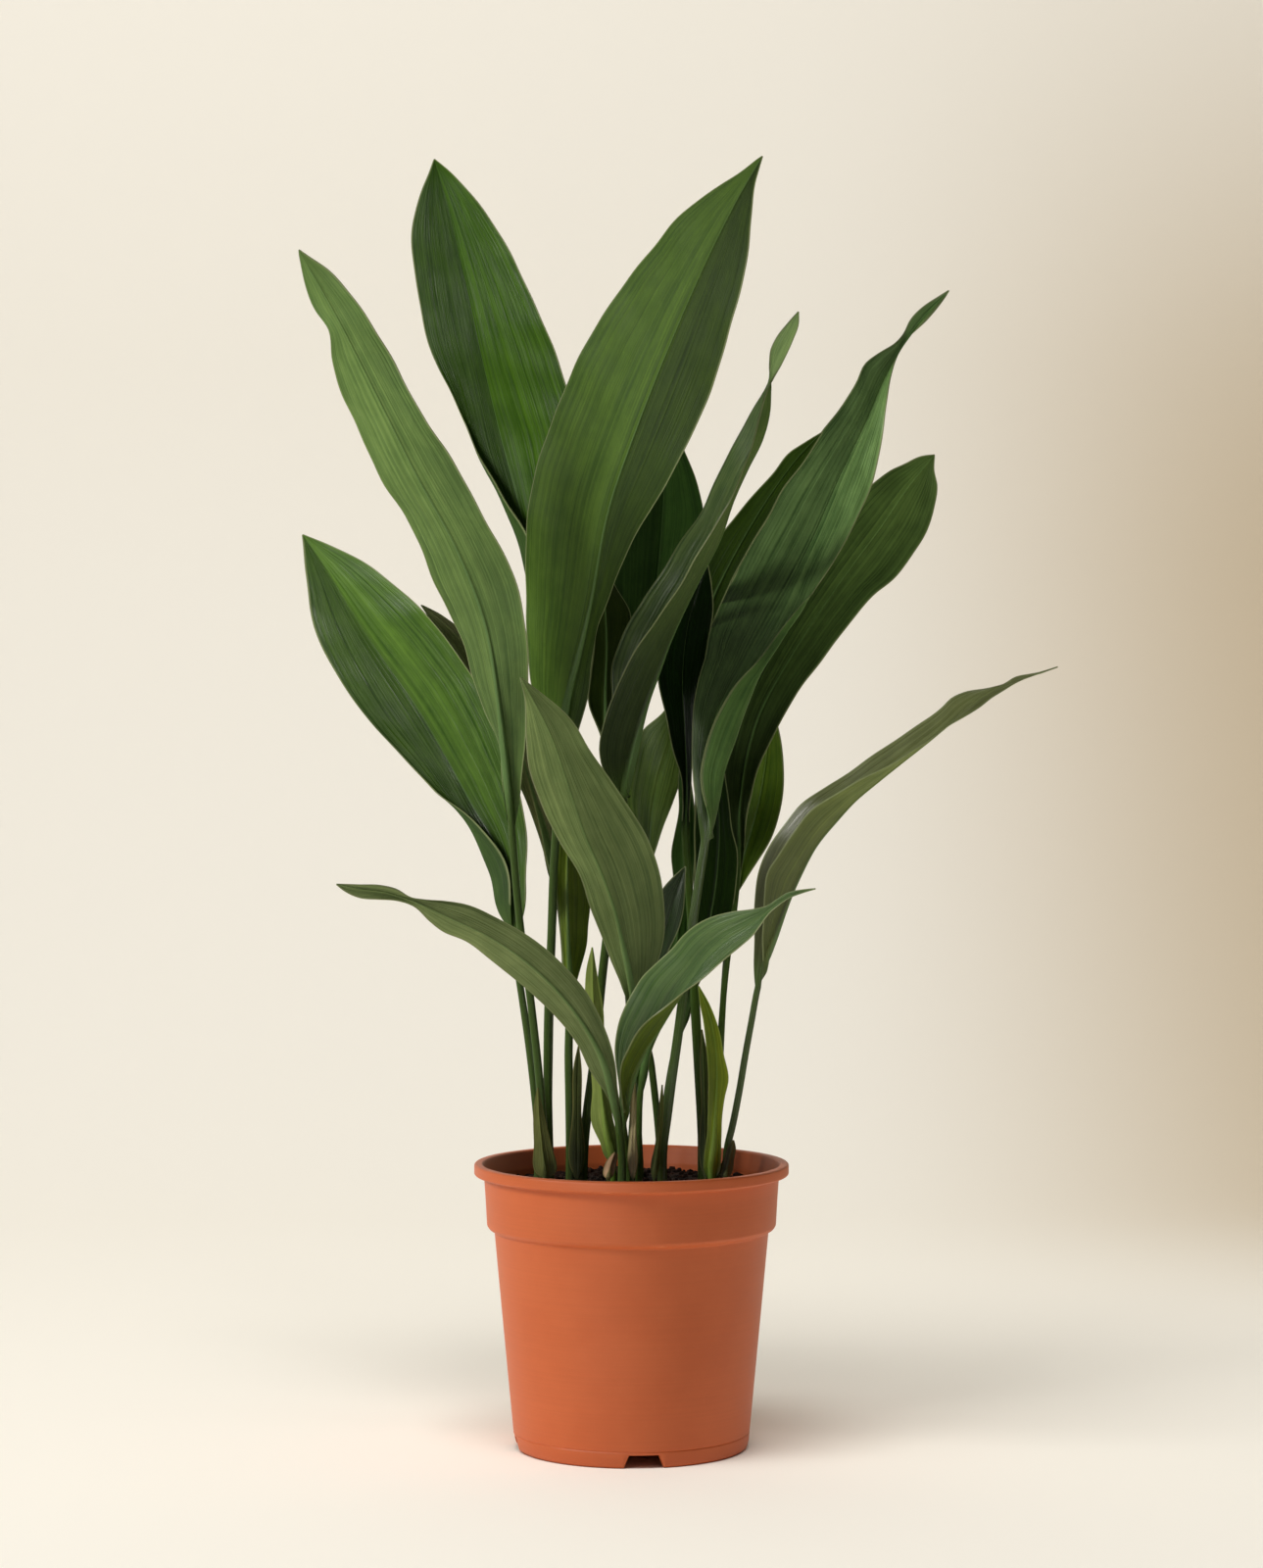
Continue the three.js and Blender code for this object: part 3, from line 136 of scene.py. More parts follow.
# Every leaf in front view, in millimetres: x across and z up as seen from the eye on the upright
# plane through the pot's axis, with y for the depth behind it.
# front: the side of the blade that faces the front. r: stalk radius at the soil and at the blade.
# root: x and y in the soil. petiole and mid: [x, z, y] along the stalk, if any, and the midrib.
# left and right: [x, z, depth from the midrib] along the two margins, base to tip.
# fold_left and fold_right: the same half-way across a half that is folded over.
LEAVES = {
  "leaf_a": {
    "front": "under", "r": [2.9, 2.4], "root": [-57.5, -5],
    "petiole": [[-58.5, 205, -5], [-62, 250, -5.5], [-65.2, 280, -6], [-67.8, 302, -7.7],
      [-72, 330, -11.2], [-76, 365, -17]],
    "mid": [[-80, 415, -25.8], [-83, 455, -35.9], [-88, 500, -50.4], [-97, 550, -61.2],
      [-116, 600, -72], [-143, 650, -82.8], [-163, 690, -90], [-181, 726, -95.4], [-202, 766, -100.8],
      [-221, 798, -104.4]],
    "left": [[-84, 440, 3.5], [-89, 470, 9], [-100, 502, 17], [-115, 543, 23.3], [-130.5, 579, 24.7],
      [-151, 622, 23.2], [-170, 655, 23.3], [-191, 701, 20.1], [-198, 726, 16.5], [-201, 744, 8.5],
      [-210, 757, 13.9], [-215, 772, 10.7], [-219, 790, 3.7]],
    "right": [[-76, 437, -1.9], [-71, 465, -4.1], [-70, 500, -3.5], [-70, 542, -5.6],
      [-78, 577, -6.1], [-94, 612, -5.5], [-118, 654, -6.7], [-150, 707, -5.5], [-170, 743, -5.3],
      [-180, 760, -4.7], [-200, 782, -2.9]]
  },
  "leaf_b": {
    "front": "upper", "r": [3.3, 2.1], "root": [-62.5, 3],
    "petiole": [[-61.8, 205, 3], [-64.9, 240, 4.3], [-68.6, 270, 7], [-73, 300, 10.2],
      [-76.6, 325, 13.8]],
    "mid": [[-77, 345, 17.6], [-80, 370, 25.1], [-90, 402, 33.6], [-105, 427, 42], [-121, 456, 50.2],
      [-140, 489, 61.2], [-177, 543, 79.2], [-200, 580, 93.6], [-219, 609, 104.4]],
    "left": [[-78, 358, -4.7], [-81, 385, -7.2], [-101, 415, -9.6], [-118, 431, -6.3],
      [-130, 441, -2.4], [-150, 460, 2.6], [-175, 487, 7], [-198, 519, 8.4], [-210, 543, 8],
      [-215, 571, 4.7], [-218, 595, 2.4]],
    "right": [[-72, 362, -6.5], [-71, 385, -10.5], [-71, 405, -13.5], [-74, 432, -18.6],
      [-84, 466, -22.6], [-100, 502, -25.6], [-118, 532, -27.2], [-140, 559, -25.8],
      [-158, 574, -21.3], [-179, 590, -15.6], [-200, 601, -7.8]],
    "fold_left": [[-84, 353, 1], [-94, 383, -0.3], [-102, 401, -1.6], [-113, 422, -3.3],
      [-125, 440, 0.6], [-136, 456, 2.5], [-160, 488, 5.5], [-190, 540, 4.3], [-208, 585, 1]]
  },
  "leaf_c": {
    "front": "under", "r": [2.8, 2.3], "root": [-55, 37],
    "petiole": [[-55.5, 215, 37.7], [-55, 265, 42.2], [-54, 310, 48.7], [-52.5, 350, 54.9]],
    "mid": [[-51.5, 378, 60.7], [-57, 405, 67.6], [-66, 437, 74.3], [-80, 480, 82.8],
      [-100, 520, 97.2], [-120, 545, 108], [-140, 562, 115.2]],
    "left": [[-56, 391, 0.7], [-62, 410, 0.6], [-70, 432, 0.4], [-78, 449, -1.4], [-94, 482, -4.1],
      [-112, 517, -3.9], [-130, 547, -1.5]],
    "right": [[-49, 392, 5.7], [-51, 415, 8.9], [-56, 440, 11.3], [-65, 470, 11.8], [-85, 510, 10.3],
      [-105, 538, 8.1], [-121, 550, 4.2], [-131, 557, 2.4]]
  },
  "leaf_d": {
    "front": "upper", "r": [2.9, 2.5], "root": [-55.5, 22],
    "petiole": [[-55.8, 215, 22.4], [-55.6, 260, 24.8], [-54.6, 300, 28], [-53, 345, 32.2],
      [-51, 395, 36.5], [-50, 435, 40.6]],
    "mid": [[-50, 470, 45], [-54, 520, 57.6], [-63, 580, 75.6], [-77, 637, 93.6], [-86, 670, 104.4],
      [-94, 702, 113.4], [-102, 737, 122.4], [-107, 761, 129.6], [-111, 779, 135], [-121, 822, 144],
      [-131, 858, 151.2]],
    "left": [[-52, 500, -3.8], [-56, 550, -6.5], [-68, 607, -11], [-78, 624, -10.6], [-94, 655, -5],
      [-106, 677, 0.6], [-119, 703, 5.5], [-134, 734, 11.2], [-143, 779, 11.7], [-145.5, 803, 10.9],
      [-140, 835, 4.9], [-134, 850, 2]],
    "right": [[-44, 490, -7.5], [-38, 530, -16.4], [-34, 590, -26.3], [-32, 640, -36.7],
      [-36, 680, -41.5], [-44, 706, -41.7], [-55.5, 741, -39.7], [-72, 778, -32.7], [-90, 810, -24.5],
      [-118, 847, -9.7]],
    "fold_left": [[-55, 500, 0.6], [-66, 565, -0.9], [-77, 608, -1.8], [-88, 637, -0.6],
      [-99, 665, 2.3], [-108, 700, 4.5], [-120, 745, 5.6], [-127, 790, 4.9], [-131, 825, 3.3]]
  },
  "leaf_e": {
    "front": "under", "r": [3, 2.7], "root": [-54.5, 8.5],
    "petiole": [[-55.4, 210, 8.6], [-56, 250, 8.8], [-55.4, 295, 8.8], [-53.5, 340, 7.2],
      [-52, 385, 4.9]],
    "mid": [[-49, 430, 0], [-47, 465, -7.2], [-42, 500, -18], [-35, 530, -27], [-27, 565, -36],
      [-15, 625, -50.4], [3, 677, -63], [29, 742, -77.4], [53, 796, -90], [70, 830, -99],
      [87, 860, -106.2]],
    "left": [[-54, 452, 5.7], [-65, 508, 20.5], [-70, 560, 34.5], [-68, 620, 42.6], [-60, 663, 46],
      [-43, 708, 45.5], [-20, 751, 41.3], [0, 782, 35.6], [16, 801, 29.5], [32, 819, 24.4],
      [61, 841, 12], [78, 853, 4.6]],
    "right": [[-43, 452, -0.8], [-36, 478, 0.6], [-29.5, 500, 2.7], [-24, 549, 13.1],
      [-12, 577, 12.6], [3, 610, 8.6], [24, 645, 2.8], [50, 700, -2.1], [65, 745, -3],
      [74, 780, -3.4], [79, 819, 0.2], [82, 843, 1.6]]
  },
  "leaf_f": {
    "front": "under", "r": [2.6, 2.2], "root": [6, 28],
    "petiole": [[4, 220, 28.7], [3, 260, 33.8], [1, 300, 42], [-2, 330, 49], [-5, 360, 56.5],
      [-8, 400, 63.6], [-9, 430, 68.5], [-6, 460, 71.9]],
    "mid": [[0, 490, 75.6], [8, 530, 82.8], [15, 570, 91.8], [19, 610, 100.8], [21, 650, 108],
      [18, 700, 115.2]],
    "left": [[-8, 515, -6.9], [-14, 550, -13.6], [-18, 585, -19], [-18, 620, -21.2],
      [-10, 660, -17.2], [4, 687, -8.3]],
    "right": [[8, 510, 4.7], [28, 560, 14.2], [42, 595, 22.1], [47, 623, 24.1], [43, 640, 20.7],
      [38, 656, 16.1], [33, 670, 12.2], [27, 687, 6.7]]
  },
  "leaf_g": {
    "front": "under", "r": [2.5, 2.1], "root": [0, 15],
    "petiole": [[1, 220, 15.4], [1, 255, 17.7], [-2, 300, 24.2], [-5, 330, 29.4], [-8, 360, 35.1],
      [-12, 400, 41.9], [-15, 430, 45.6]],
    "mid": [[-17, 452, 48.3], [-18, 500, 52.2], [-17, 540, 54], [-20, 580, 52.2], [-32, 625, 52.2]],
    "left": [[-20, 474, -0.5], [-29, 498, -3.6], [-27, 515, -1.6], [-24.5, 536, -0.4],
      [-25.5, 552, -0.5], [-32, 590, -2.4]],
    "right": [[-13, 485, 3.8], [-12, 515, 5.4], [-9, 536, 7.9], [-2.5, 545, 11.9], [-1, 553, 13.2],
      [-12, 577, 7.7], [-24, 605, 3.5]]
  },
  "leaf_h": {
    "front": "upper", "r": [3.3, 2.7], "root": [-32.8, 5.5],
    "petiole": [[-31.5, 205, 5], [-29, 228, 4.2], [-26, 250, 3.3], [-22.5, 285, 1.2], [-19.5, 315, 0],
      [-16, 345, -2.9], [-11.5, 385, -6.5]],
    "mid": [[-5, 432, -12.3], [0, 462, -14.4], [5, 485, -14.4], [10, 501, -12.6], [16, 516, -10.8],
      [24, 537, -9], [35, 561, -9], [45, 581, -10.8], [58, 606, -14.4], [67, 632, -18],
      [77, 654, -21.6], [86, 672, -23.4], [91, 692, -25.2], [91.5, 704, -27], [92, 712, -27],
      [98, 731, -30.6], [111, 757, -34.2]],
    "left": [[-9, 447, 5], [-11, 470, 10.1], [-12, 500, 13.9], [-12, 524, 14.7], [-6, 541, 15.6],
      [8, 564, 17.1], [20, 580, 16.7], [31, 600, 15.8], [47, 626, 15.5], [59, 650, 12.8],
      [70, 669, 10.1], [80, 690, 6.5], [89, 707, 2.6], [92.5, 720, -1.3], [93, 731, -2.7],
      [97, 740, -2.7], [104, 749, -1.4]],
    "right": [[-13, 439, -2.6], [-20.5, 454, -5.2], [-22, 470, -6.5], [-19, 485, -8.5],
      [-11, 505, -10.8], [-3, 521, -12.1], [14, 548, -13.9], [32, 576, -14.6], [50, 604, -14.1],
      [62, 624, -12.7], [70, 645, -10.6], [79, 668, -8.3], [86, 690, -5.3], [90, 704, -2.8],
      [93.5, 713, 1.2], [100, 724, 3.6], [107, 736, 3.9], [111, 749, 1.5]]
  },
  "leaf_i": {
    "front": "under", "r": [2.6, 2.2], "root": [47, 13],
    "petiole": [[46.5, 220, 13.3], [45, 260, 15.8], [43, 300, 20.4], [40, 335, 27], [38, 370, 36],
      [37, 410, 47.8], [36.5, 445, 57]],
    "mid": [[37, 470, 61.2], [40, 500, 64.8], [45, 530, 66.6], [54, 565, 64.8], [66, 590, 61.2],
      [80, 615, 59.4], [96, 640, 57.6], [110, 659, 57.6], [127, 677, 57.6]],
    "left": [[36, 490, 2], [36, 520, 3], [38, 550, 3], [44, 580, 3], [57, 605, 3], [69, 620, 3],
      [80, 633.5, 3], [95, 650, 2], [105, 663, 2], [114, 669, 1]],
    "right": [[40, 485, 1], [43.5, 505, 1], [47.5, 528, 1], [52, 545, 1], [56.5, 556, 0],
      [64, 572, -2], [70.8, 586, -3], [80.5, 604, -3], [91, 621, -3], [101, 639, -2], [115.5, 658, -1]]
  },
  "leaf_j": {
    "front": "upper", "r": [3.4, 2.9], "root": [20.5, -14],
    "petiole": [[20.8, 200, -14], [23.5, 220, -14.4], [27, 247, -14.1], [31, 275, -14.1],
      [34.5, 302, -14.1], [38.5, 330, -14], [42, 358, -13.7], [46, 385, -13]],
    "mid": [[49, 405, -11.8], [50, 425, -10.5], [49.5, 445, -7.1], [51.5, 465, 0], [57, 487, 9],
      [66, 506, 18], [78, 527, 30.6], [90, 548, 50.4], [107, 579, 75.6], [122, 609, 93.6],
      [138, 646, 111.6], [158, 688, 129.6], [168, 712, 138.6], [178, 731, 145.8], [190, 749, 153],
      [211, 771, 162]],
    "left": [[46, 425, -3], [43, 441, -3], [41, 455, -2], [40.7, 475, -1], [42.5, 501, -1],
      [45, 514, 0], [49, 529, 2], [51.5, 545, 5], [57.5, 560, 9], [62, 570, 13], [69, 581, 14],
      [74, 592, 13], [79, 604, 11], [88.5, 621.5, 8], [98.5, 639, 5], [110, 654, 2], [120, 667, -2],
      [128, 678, -4], [139, 692, -6], [151, 711, -8], [156, 722, -8], [166, 730, -6],
      [175, 735.5, -3], [181, 741, 1], [186, 751, 2], [195, 760, 2], [204, 766.5, 1]],
    "right": [[49, 418, -6], [46, 437, -10], [46, 452, -11], [52.6, 480.6, -12], [68, 509, -12],
      [83, 526, -11], [96, 544, -10], [108, 559, -9], [119, 572, -8], [133, 589, -8], [150, 620, -9],
      [160.5, 646, -9], [166, 670, -8], [170, 697, -7], [172, 715, -5], [176, 726, -1], [181, 734, 2],
      [189, 743.5, 2], [197, 752, 1], [208, 766, 0]],
    "fold_right": [[53, 417, -1], [59, 440, -3], [61, 449, -4], [67, 468, -5], [75, 490, -5],
      [81, 505, -5], [92, 526, -5], [103, 544, -5], [112, 561, -4], [121, 583, -3], [135, 613, -3],
      [150, 652, -3], [164, 692, -3], [172, 718, -2], [184, 740, 0], [196, 756, 0]]
  },
  "leaf_k": {
    "front": "upper", "r": [3.2, 2.6], "root": [48, -5],
    "petiole": [[47.5, 200, -5], [46.5, 222, -4.1], [45, 247, -3.3], [43.5, 272, -1.2], [42, 297, 0],
      [41, 325, 4.1], [39.5, 355, 9], [37.5, 385, 14.6]],
    "mid": [[36, 407, 20.4], [37, 440, 28.4], [35.5, 480, 36], [34, 510, 39.6], [37, 545, 43.2],
      [44, 573, 45], [50.5, 591, 45]],
    "left": [[34.5, 430, -1], [33.5, 447, -2], [28, 465, -4], [23.6, 488, -4], [18.5, 509, -4],
      [17, 525, -3], [22, 550, -2], [34, 573, -1], [44, 585, 0]],
    "right": [[38.5, 430, -1], [40, 455, -1], [43, 485, 0], [47, 515, 1], [51, 538, 2], [54, 557, 2],
      [53, 575, 1]]
  },
  "leaf_l": {
    "front": "under", "r": [2.4, 1.9], "root": [56, 2],
    "petiole": [[56, 205, 2], [57, 228, 2.1], [58.5, 260, 3.4], [60.3, 286, 6.1], [62, 308, 10.5],
      [64.5, 330, 16.8], [68.5, 358, 27.3]],
    "mid": [[71, 383, 42], [72, 420, 62.4], [76, 455, 82.5], [86, 490, 104.4], [102, 520, 126],
      [122, 552, 147.6], [145, 585, 165.6], [165, 612, 178.2], [184, 640, 187.2], [201.5, 662, 192.6]],
    "left": [[68, 405, -0.4], [62, 430, -1.4], [62, 460, -0.9], [70, 495, -0.7], [84, 528, -0.9],
      [100, 560, -1.2], [120, 592, -1.8], [140, 621, -2.2], [161, 643, -2.3], [173, 651.5, -1.3],
      [181, 655, -0.7], [194, 661, -1.1]],
    "right": [[75, 406, -0.6], [78, 430, -3.1], [84, 454, -4.8], [97, 479, -4.6], [109, 501, -5],
      [127, 527, -4], [150, 556, -1.7], [161, 568, -0.9], [175, 580, 1.8], [188, 598, 2.8],
      [196, 611, 4.5], [201, 627, 4.5], [203, 641, 3.7], [201, 652, 1.3]]
  },
  "leaf_m": {
    "front": "under", "r": [2.4, 2], "root": [57, 12],
    "petiole": [[56.5, 215, 13.2], [59, 255, 18.9], [61, 295, 27.6], [63.5, 330, 42]],
    "mid": [[66, 352, 53.8], [71, 377, 70.1], [78, 402, 85.7], [86, 432, 105.6], [91, 465, 125.9],
      [92, 500, 144]],
    "left": [[67, 380, 5.7], [71, 405, 9], [76, 435, 12.3], [81, 468, 11.1], [86, 488, 5.5]],
    "right": [[69.5, 368, 0.8], [75, 377, -1.1], [83, 389.5, -3.5], [94, 410, -6.7], [99, 429, -6.7],
      [101, 448, -5.9], [100.7, 460, -5.3], [98, 480, -4.3]]
  },
  "leaf_n": {
    "front": "under", "r": [2.7, 2.2], "root": [21, 12],
    "petiole": [[21.5, 215, 12.2], [24.5, 240, 12.8], [28, 260, 13.5]],
    "mid": [[32.5, 278, 14.2], [38, 300, 15.3], [46, 330, 18.2], [53, 360, 21.4], [57, 390, 24.6],
      [58, 420, 27.7], [55, 450, 30.4], [49, 480, 32.4]],
    "left": [[33.5, 295, -1.2], [37, 315, -2.4], [40, 342, -5], [41.5, 370, -7.9], [41.8, 400, -9.9],
      [43, 430, -8.8], [44, 460, -6.2]],
    "right": [[37, 287, 1.5], [42, 303, 1.2], [49, 319, 2], [59, 340, 4.3], [66.5, 358, 5.6],
      [69.5, 377, 5.9], [70, 399, 4.9], [66.5, 413, 2.1], [65, 426, 2.3], [63, 441, 2.9],
      [58, 465, 3.1]]
  },
  "leaf_o": {
    "front": "under", "r": [2.4, 2.1], "root": [5, -12],
    "petiole": [[4.7, 200, -13], [5, 222, -14.4]],
    "mid": [[6, 238, -14.9], [9, 258, -15.7], [17, 285, -9.7], [27, 320, 8.1], [33, 360, 24.4],
      [35, 400, 33.5], [35.5, 440, 40.8], [34.5, 470, 46.8]],
    "left": [[4.5, 255, 0.8], [10, 281, 1.1], [19, 309, 1.9], [26, 340, 1.8], [29, 362, 1.8],
      [28.3, 380, 2.1], [27, 398, 1.6], [29, 409, 1.2], [32, 425, 1.7], [31.5, 445, 0.8]],
    "right": [[9, 248, 0.7], [13.5, 266, 0.6], [22, 285, 1], [32, 312, 0.6], [38, 345, 0.6],
      [41, 380, 0.6], [43, 410, 0.4], [40, 440, 0.1]]
  },
  "leaf_p": {
    "front": "upper", "r": [2.3, 1.9], "root": [-1, 3],
    "petiole": [[0, 210, 4], [2.5, 240, 5.3], [6, 268, 5.8]],
    "mid": [[9, 286, 3.7], [14, 310, -2.6], [20, 335, -7.1], [27, 360, -9.2], [36, 388, -9.8]],
    "left": [[7, 300, -2.4], [9, 325, -3.2], [14, 350, -3.9], [20, 371, -4], [28.3, 381, -2.6]],
    "right": [[12.5, 300, -0.7], [18, 315, -0.6], [24.5, 332, 0.5], [30.5, 345, 0.7],
      [33.5, 355, 0.8], [35.5, 372, 0.2]]
  },
  "leaf_q": {
    "front": "upper", "r": [2.5, 2.1], "root": [4.2, 39],
    "petiole": [[4.8, 220, 38.5], [5.5, 258, 41.9], [7, 290, 44.4], [8, 320, 46.1], [8.5, 355, 47.4]],
    "mid": [[10, 383, 50.1], [12, 405, 54.1], [14, 425, 55.8], [18, 445, 55.2], [25, 468, 54],
      [33, 500, 52.2]],
    "left": [[5, 398, 2.2], [0, 415, 5.5], [-3, 432, 8], [-1.5, 445, 8.6], [1, 459, 9.2],
      [2.5, 469, 9.9], [8, 479, 8.6], [19, 489, 4.5], [28, 498, 2.2]],
    "right": [[13, 391, -0.1], [16, 400, -0.2], [21, 415, -1], [27, 430, -1.9], [32, 445, -3.7],
      [34, 462, -3.2], [35, 482, -2.2]]
  },
  "leaf_r": {
    "front": "under", "r": [2.6, 2.2], "root": [20, 1],
    "petiole": [[18, 212, 1], [16.4, 228, 1], [14.5, 245, 0], [12.5, 260, -1.1], [8.5, 274, -5.9]],
    "mid": [[3, 290, -14.8], [-1, 312, -26.5], [-6, 335, -37], [-12, 360, -48.9], [-20, 383, -61.4],
      [-31, 408, -74.8], [-42, 440, -92.3], [-54, 475, -109.8], [-74, 514, -129.6]],
    "left": [[-2, 300, -0.3], [-10.6, 319, -0.2], [-19, 340, 0.4], [-27.4, 361, 0.3], [-34, 382, 1.7],
      [-46, 402, 0.5], [-60, 430, -1.1], [-67, 450, -2.2], [-69.5, 475, -0.5], [-70.5, 498, 0.3]],
    "right": [[7, 302, 3.4], [15, 320, 9.9], [20, 336, 15.2], [22, 356, 19.9], [18.5, 382, 22.4],
      [11, 404, 22.7], [0.6, 423, 21.9], [-15, 447, 18.1], [-30, 468, 14.2], [-43, 488, 10.3],
      [-60, 503, 5]]
  },
  "leaf_s": {
    "front": "under", "r": [3.1, 2.7], "root": [-41, -2],
    "petiole": [[-41, 205, -2], [-41.5, 235, -2.1], [-42, 262, -3.4]],
    "mid": [[-41.5, 288, -3.7], [-42.5, 318, -1.3], [-43, 345, 4.4], [-43.5, 375, 12.7],
      [-43, 400, 18.4], [-41, 430, 22.8], [-38, 460, 25.2]],
    "left": [[-45, 312, -1.2], [-46, 330, -0.6], [-47.5, 348, -0.6], [-49.8, 366, -1.2],
      [-50, 385, -1.4], [-49, 410, -2.3], [-46, 440, -2.8]],
    "right": [[-38, 308, 4.3], [-35, 322, 9.1], [-31, 337, 14.5], [-29.5, 350, 16.9],
      [-28, 362, 19.2], [-29, 385, 18.4], [-31, 410, 14], [-34, 440, 6.8]]
  },
  "leaf_t": {
    "front": "under", "r": [3.2, 2.6], "root": [-6.5, -31],
    "petiole": [[-6.5, 195, -32]],
    "mid": [[-8, 211, -35.4], [-13, 236, -42.3], [-20, 260, -51.8], [-32, 282, -63.7],
      [-48, 303, -77.1], [-70, 324, -94.8], [-95, 341, -112.9], [-122, 354, -130.7],
      [-147, 365, -147], [-165, 371, -157.1], [-182, 373, -164.2], [-197, 376, -170.1]],
    "left": [[-10, 222, 1], [-17, 237, 2], [-27, 251, 3], [-35, 268, 4], [-50, 288, 5], [-70, 307, 6],
      [-94, 326, 6], [-110, 338.5, 6], [-126, 345.5, 5], [-136, 353.5, 3], [-144, 361, 0],
      [-155, 365, -3], [-169, 366.5, -4], [-181, 367.7, -3], [-191, 371.5, -1]],
    "right": [[-9.5, 232, 0], [-11.5, 256, 2], [-19, 281, 4], [-30, 303, 5], [-46, 322, 6],
      [-66, 339, 7], [-89, 352.5, 7], [-110, 362, 6], [-125, 364.5, 5], [-138, 365.5, 3],
      [-147, 367, 1], [-157, 373, -2], [-168, 375.5, -2], [-182, 375.8, -1], [-190, 375.8, 0]]
  },
  "leaf_u": {
    "front": "upper", "r": [2.7, 2.3], "root": [-2, -20],
    "petiole": [[-2.5, 195, -21]],
    "mid": [[-5, 211, -25.3], [-4, 232, -32.5], [1, 250, -40.5], [8, 265, -46.8], [18, 280, -53.8],
      [28, 296, -60.3], [39, 312, -67.5], [51, 328, -75.1], [63, 339, -83.4], [76, 347, -91.3],
      [87, 355, -99.4], [94, 361, -105.6], [103, 367, -112], [122.5, 373, -121.5]],
    "left": [[-8, 232, 3], [-9.5, 252, 7], [-9.6, 271, 9], [-7, 284, 10], [-3, 294, 11], [2, 305, 12],
      [7, 314, 12], [15, 322, 11], [27, 333, 10], [34, 341, 9], [50, 352, 6], [68, 357.5, 4],
      [82, 359.3, 2], [90, 361, 1], [97, 366, 1], [103, 370, 1], [114, 372, 0]],
    "right": [[-7, 232, -4], [-8.5, 250, -7], [-7.5, 257, -8], [-2.5, 268, -9], [4, 278, -10],
      [12, 286, -10], [21, 292.5, -9], [29, 298, -8], [37, 305, -7], [50, 316, -6], [61, 326, -5],
      [72, 335, -4], [80, 341.6, -3], [86, 349, -2], [92, 357, -1], [99, 363, 0], [106, 367.5, 0],
      [114, 370.5, 0]]
  },
  "leaf_v": {
    "front": "upper", "r": [2.5, 2.1], "root": [63, -10],
    "petiole": [[64, 200, -10], [67.5, 215, -11.2], [72, 238, -13.8], [76, 262, -17], [80, 284, -21.8]],
    "mid": [[84.5, 308, -26.1], [90, 328, -30.6], [96, 346, -35.2], [104, 367, -40.4],
      [112, 384, -45.4], [122, 402, -50.4], [136, 419, -53.6], [149, 433, -54.6], [161, 443, -55.2],
      [181, 459, -53.9], [200, 474, -50.4], [212, 484, -46.8], [222, 493, -43.2], [234, 502, -39.6],
      [246, 508, -36], [262, 514, -32.4], [284, 521, -27]],
    "left": [[83.5, 322, 3], [82, 341, 7], [81.5, 359, 10], [85, 381, 13], [93, 400, 15],
      [104, 415, 16], [114.6, 429.5, 16], [130, 440.5, 16], [150, 453.7, 15], [170, 466.7, 13],
      [190, 480, 10], [207, 494, 6], [213, 500, 5], [222, 504.5, 4], [239, 508, 2], [248, 509.5, 0],
      [256, 514, -1], [270, 516.3, 0]],
    "right": [[87, 328, -3], [87.5, 347, -7], [88, 367, -10], [91, 386, -13], [98, 396, -14],
      [108, 409.5, -15], [120, 424, -15], [131, 431.5, -15], [149, 443.5, -14], [162, 451, -12],
      [180, 462, -9], [198, 473, -6], [210, 481, -4], [222, 488, -3], [232, 494.5, -2],
      [240, 501, -1], [250, 507, 1], [268, 515, 0]]
  },
  "shoot_a": {
    "front": "under", "r": [2.4, 2], "root": [-12, -14],
    "mid": [[-12.5, 190, -14], [-17, 212, -15], [-20.5, 240, -17], [-23, 270, -19], [-25.5, 300, -21],
      [-26.2, 334, -23]],
    "left": [[-16.5, 195, 2], [-20.5, 204, 3], [-26, 216, 4], [-25.5, 240, 4], [-28, 270, 4],
      [-30.5, 305, 3], [-29.5, 320, 1]],
    "right": [[-10, 202, 2], [-13.5, 220, 4], [-17, 240, 5], [-19, 268, 4], [-19.5, 293, 3],
      [-23, 312, 2], [-24.8, 324, 1]]
  },
  "shoot_b": {
    "front": "under", "r": [2.8, 2.4], "root": [54.5, -22],
    "mid": [[53.6, 179, -22], [55, 204, -23], [56, 225, -24], [57, 247, -26], [56, 268, -28],
      [52, 289, -30], [44.8, 308, -32]],
    "left": [[50.6, 184, 1], [51.3, 212, 2], [52, 243, 4], [50.5, 268, 4], [48.5, 286, 3],
      [46, 297, 1]],
    "right": [[57, 184, 1], [59.5, 206, 2], [59.9, 220, 3], [61.5, 234, 4], [64, 246, 5],
      [60.5, 263, 4], [58, 278, 3], [51.5, 296, 1]]
  },
  "sheath_a": {
    "front": "under", "r": [1.2, 1], "root": [-58, -25],
    "mid": [[-58, 178.5, -25], [-59.6, 200, -24], [-61.6, 220, -22], [-62.6, 240, -20]],
    "left": [[-63.2, 183, 3], [-64.6, 204, 3], [-64.8, 224, 2]],
    "right": [[-52, 182, 3], [-54.2, 202, 3], [-58.2, 219, 2], [-61, 232, 1]]
  },
  "sheath_b": {
    "front": "upper", "r": [1.1, 0.8], "root": [-36.5, -9],
    "mid": [[-36.5, 178.5, -9], [-36.6, 215, -8], [-36.3, 245, -7], [-35.4, 268, -6]],
    "left": [[-38.9, 183, 1], [-38.9, 225, 1], [-38.4, 254, 1]],
    "right": [[-34, 183, 1], [-34, 225, 1], [-34, 256, 0]]
  },
  "sheath_c": {
    "front": "upper", "r": [1.1, 0.8], "root": [1.2, -30],
    "mid": [[1, 178.5, -30], [1.1, 205, -28], [1.5, 225, -27], [1.8, 246, -26]],
    "left": [[-0.8, 183, 1], [-0.6, 212, 1], [0.2, 234, 0]],
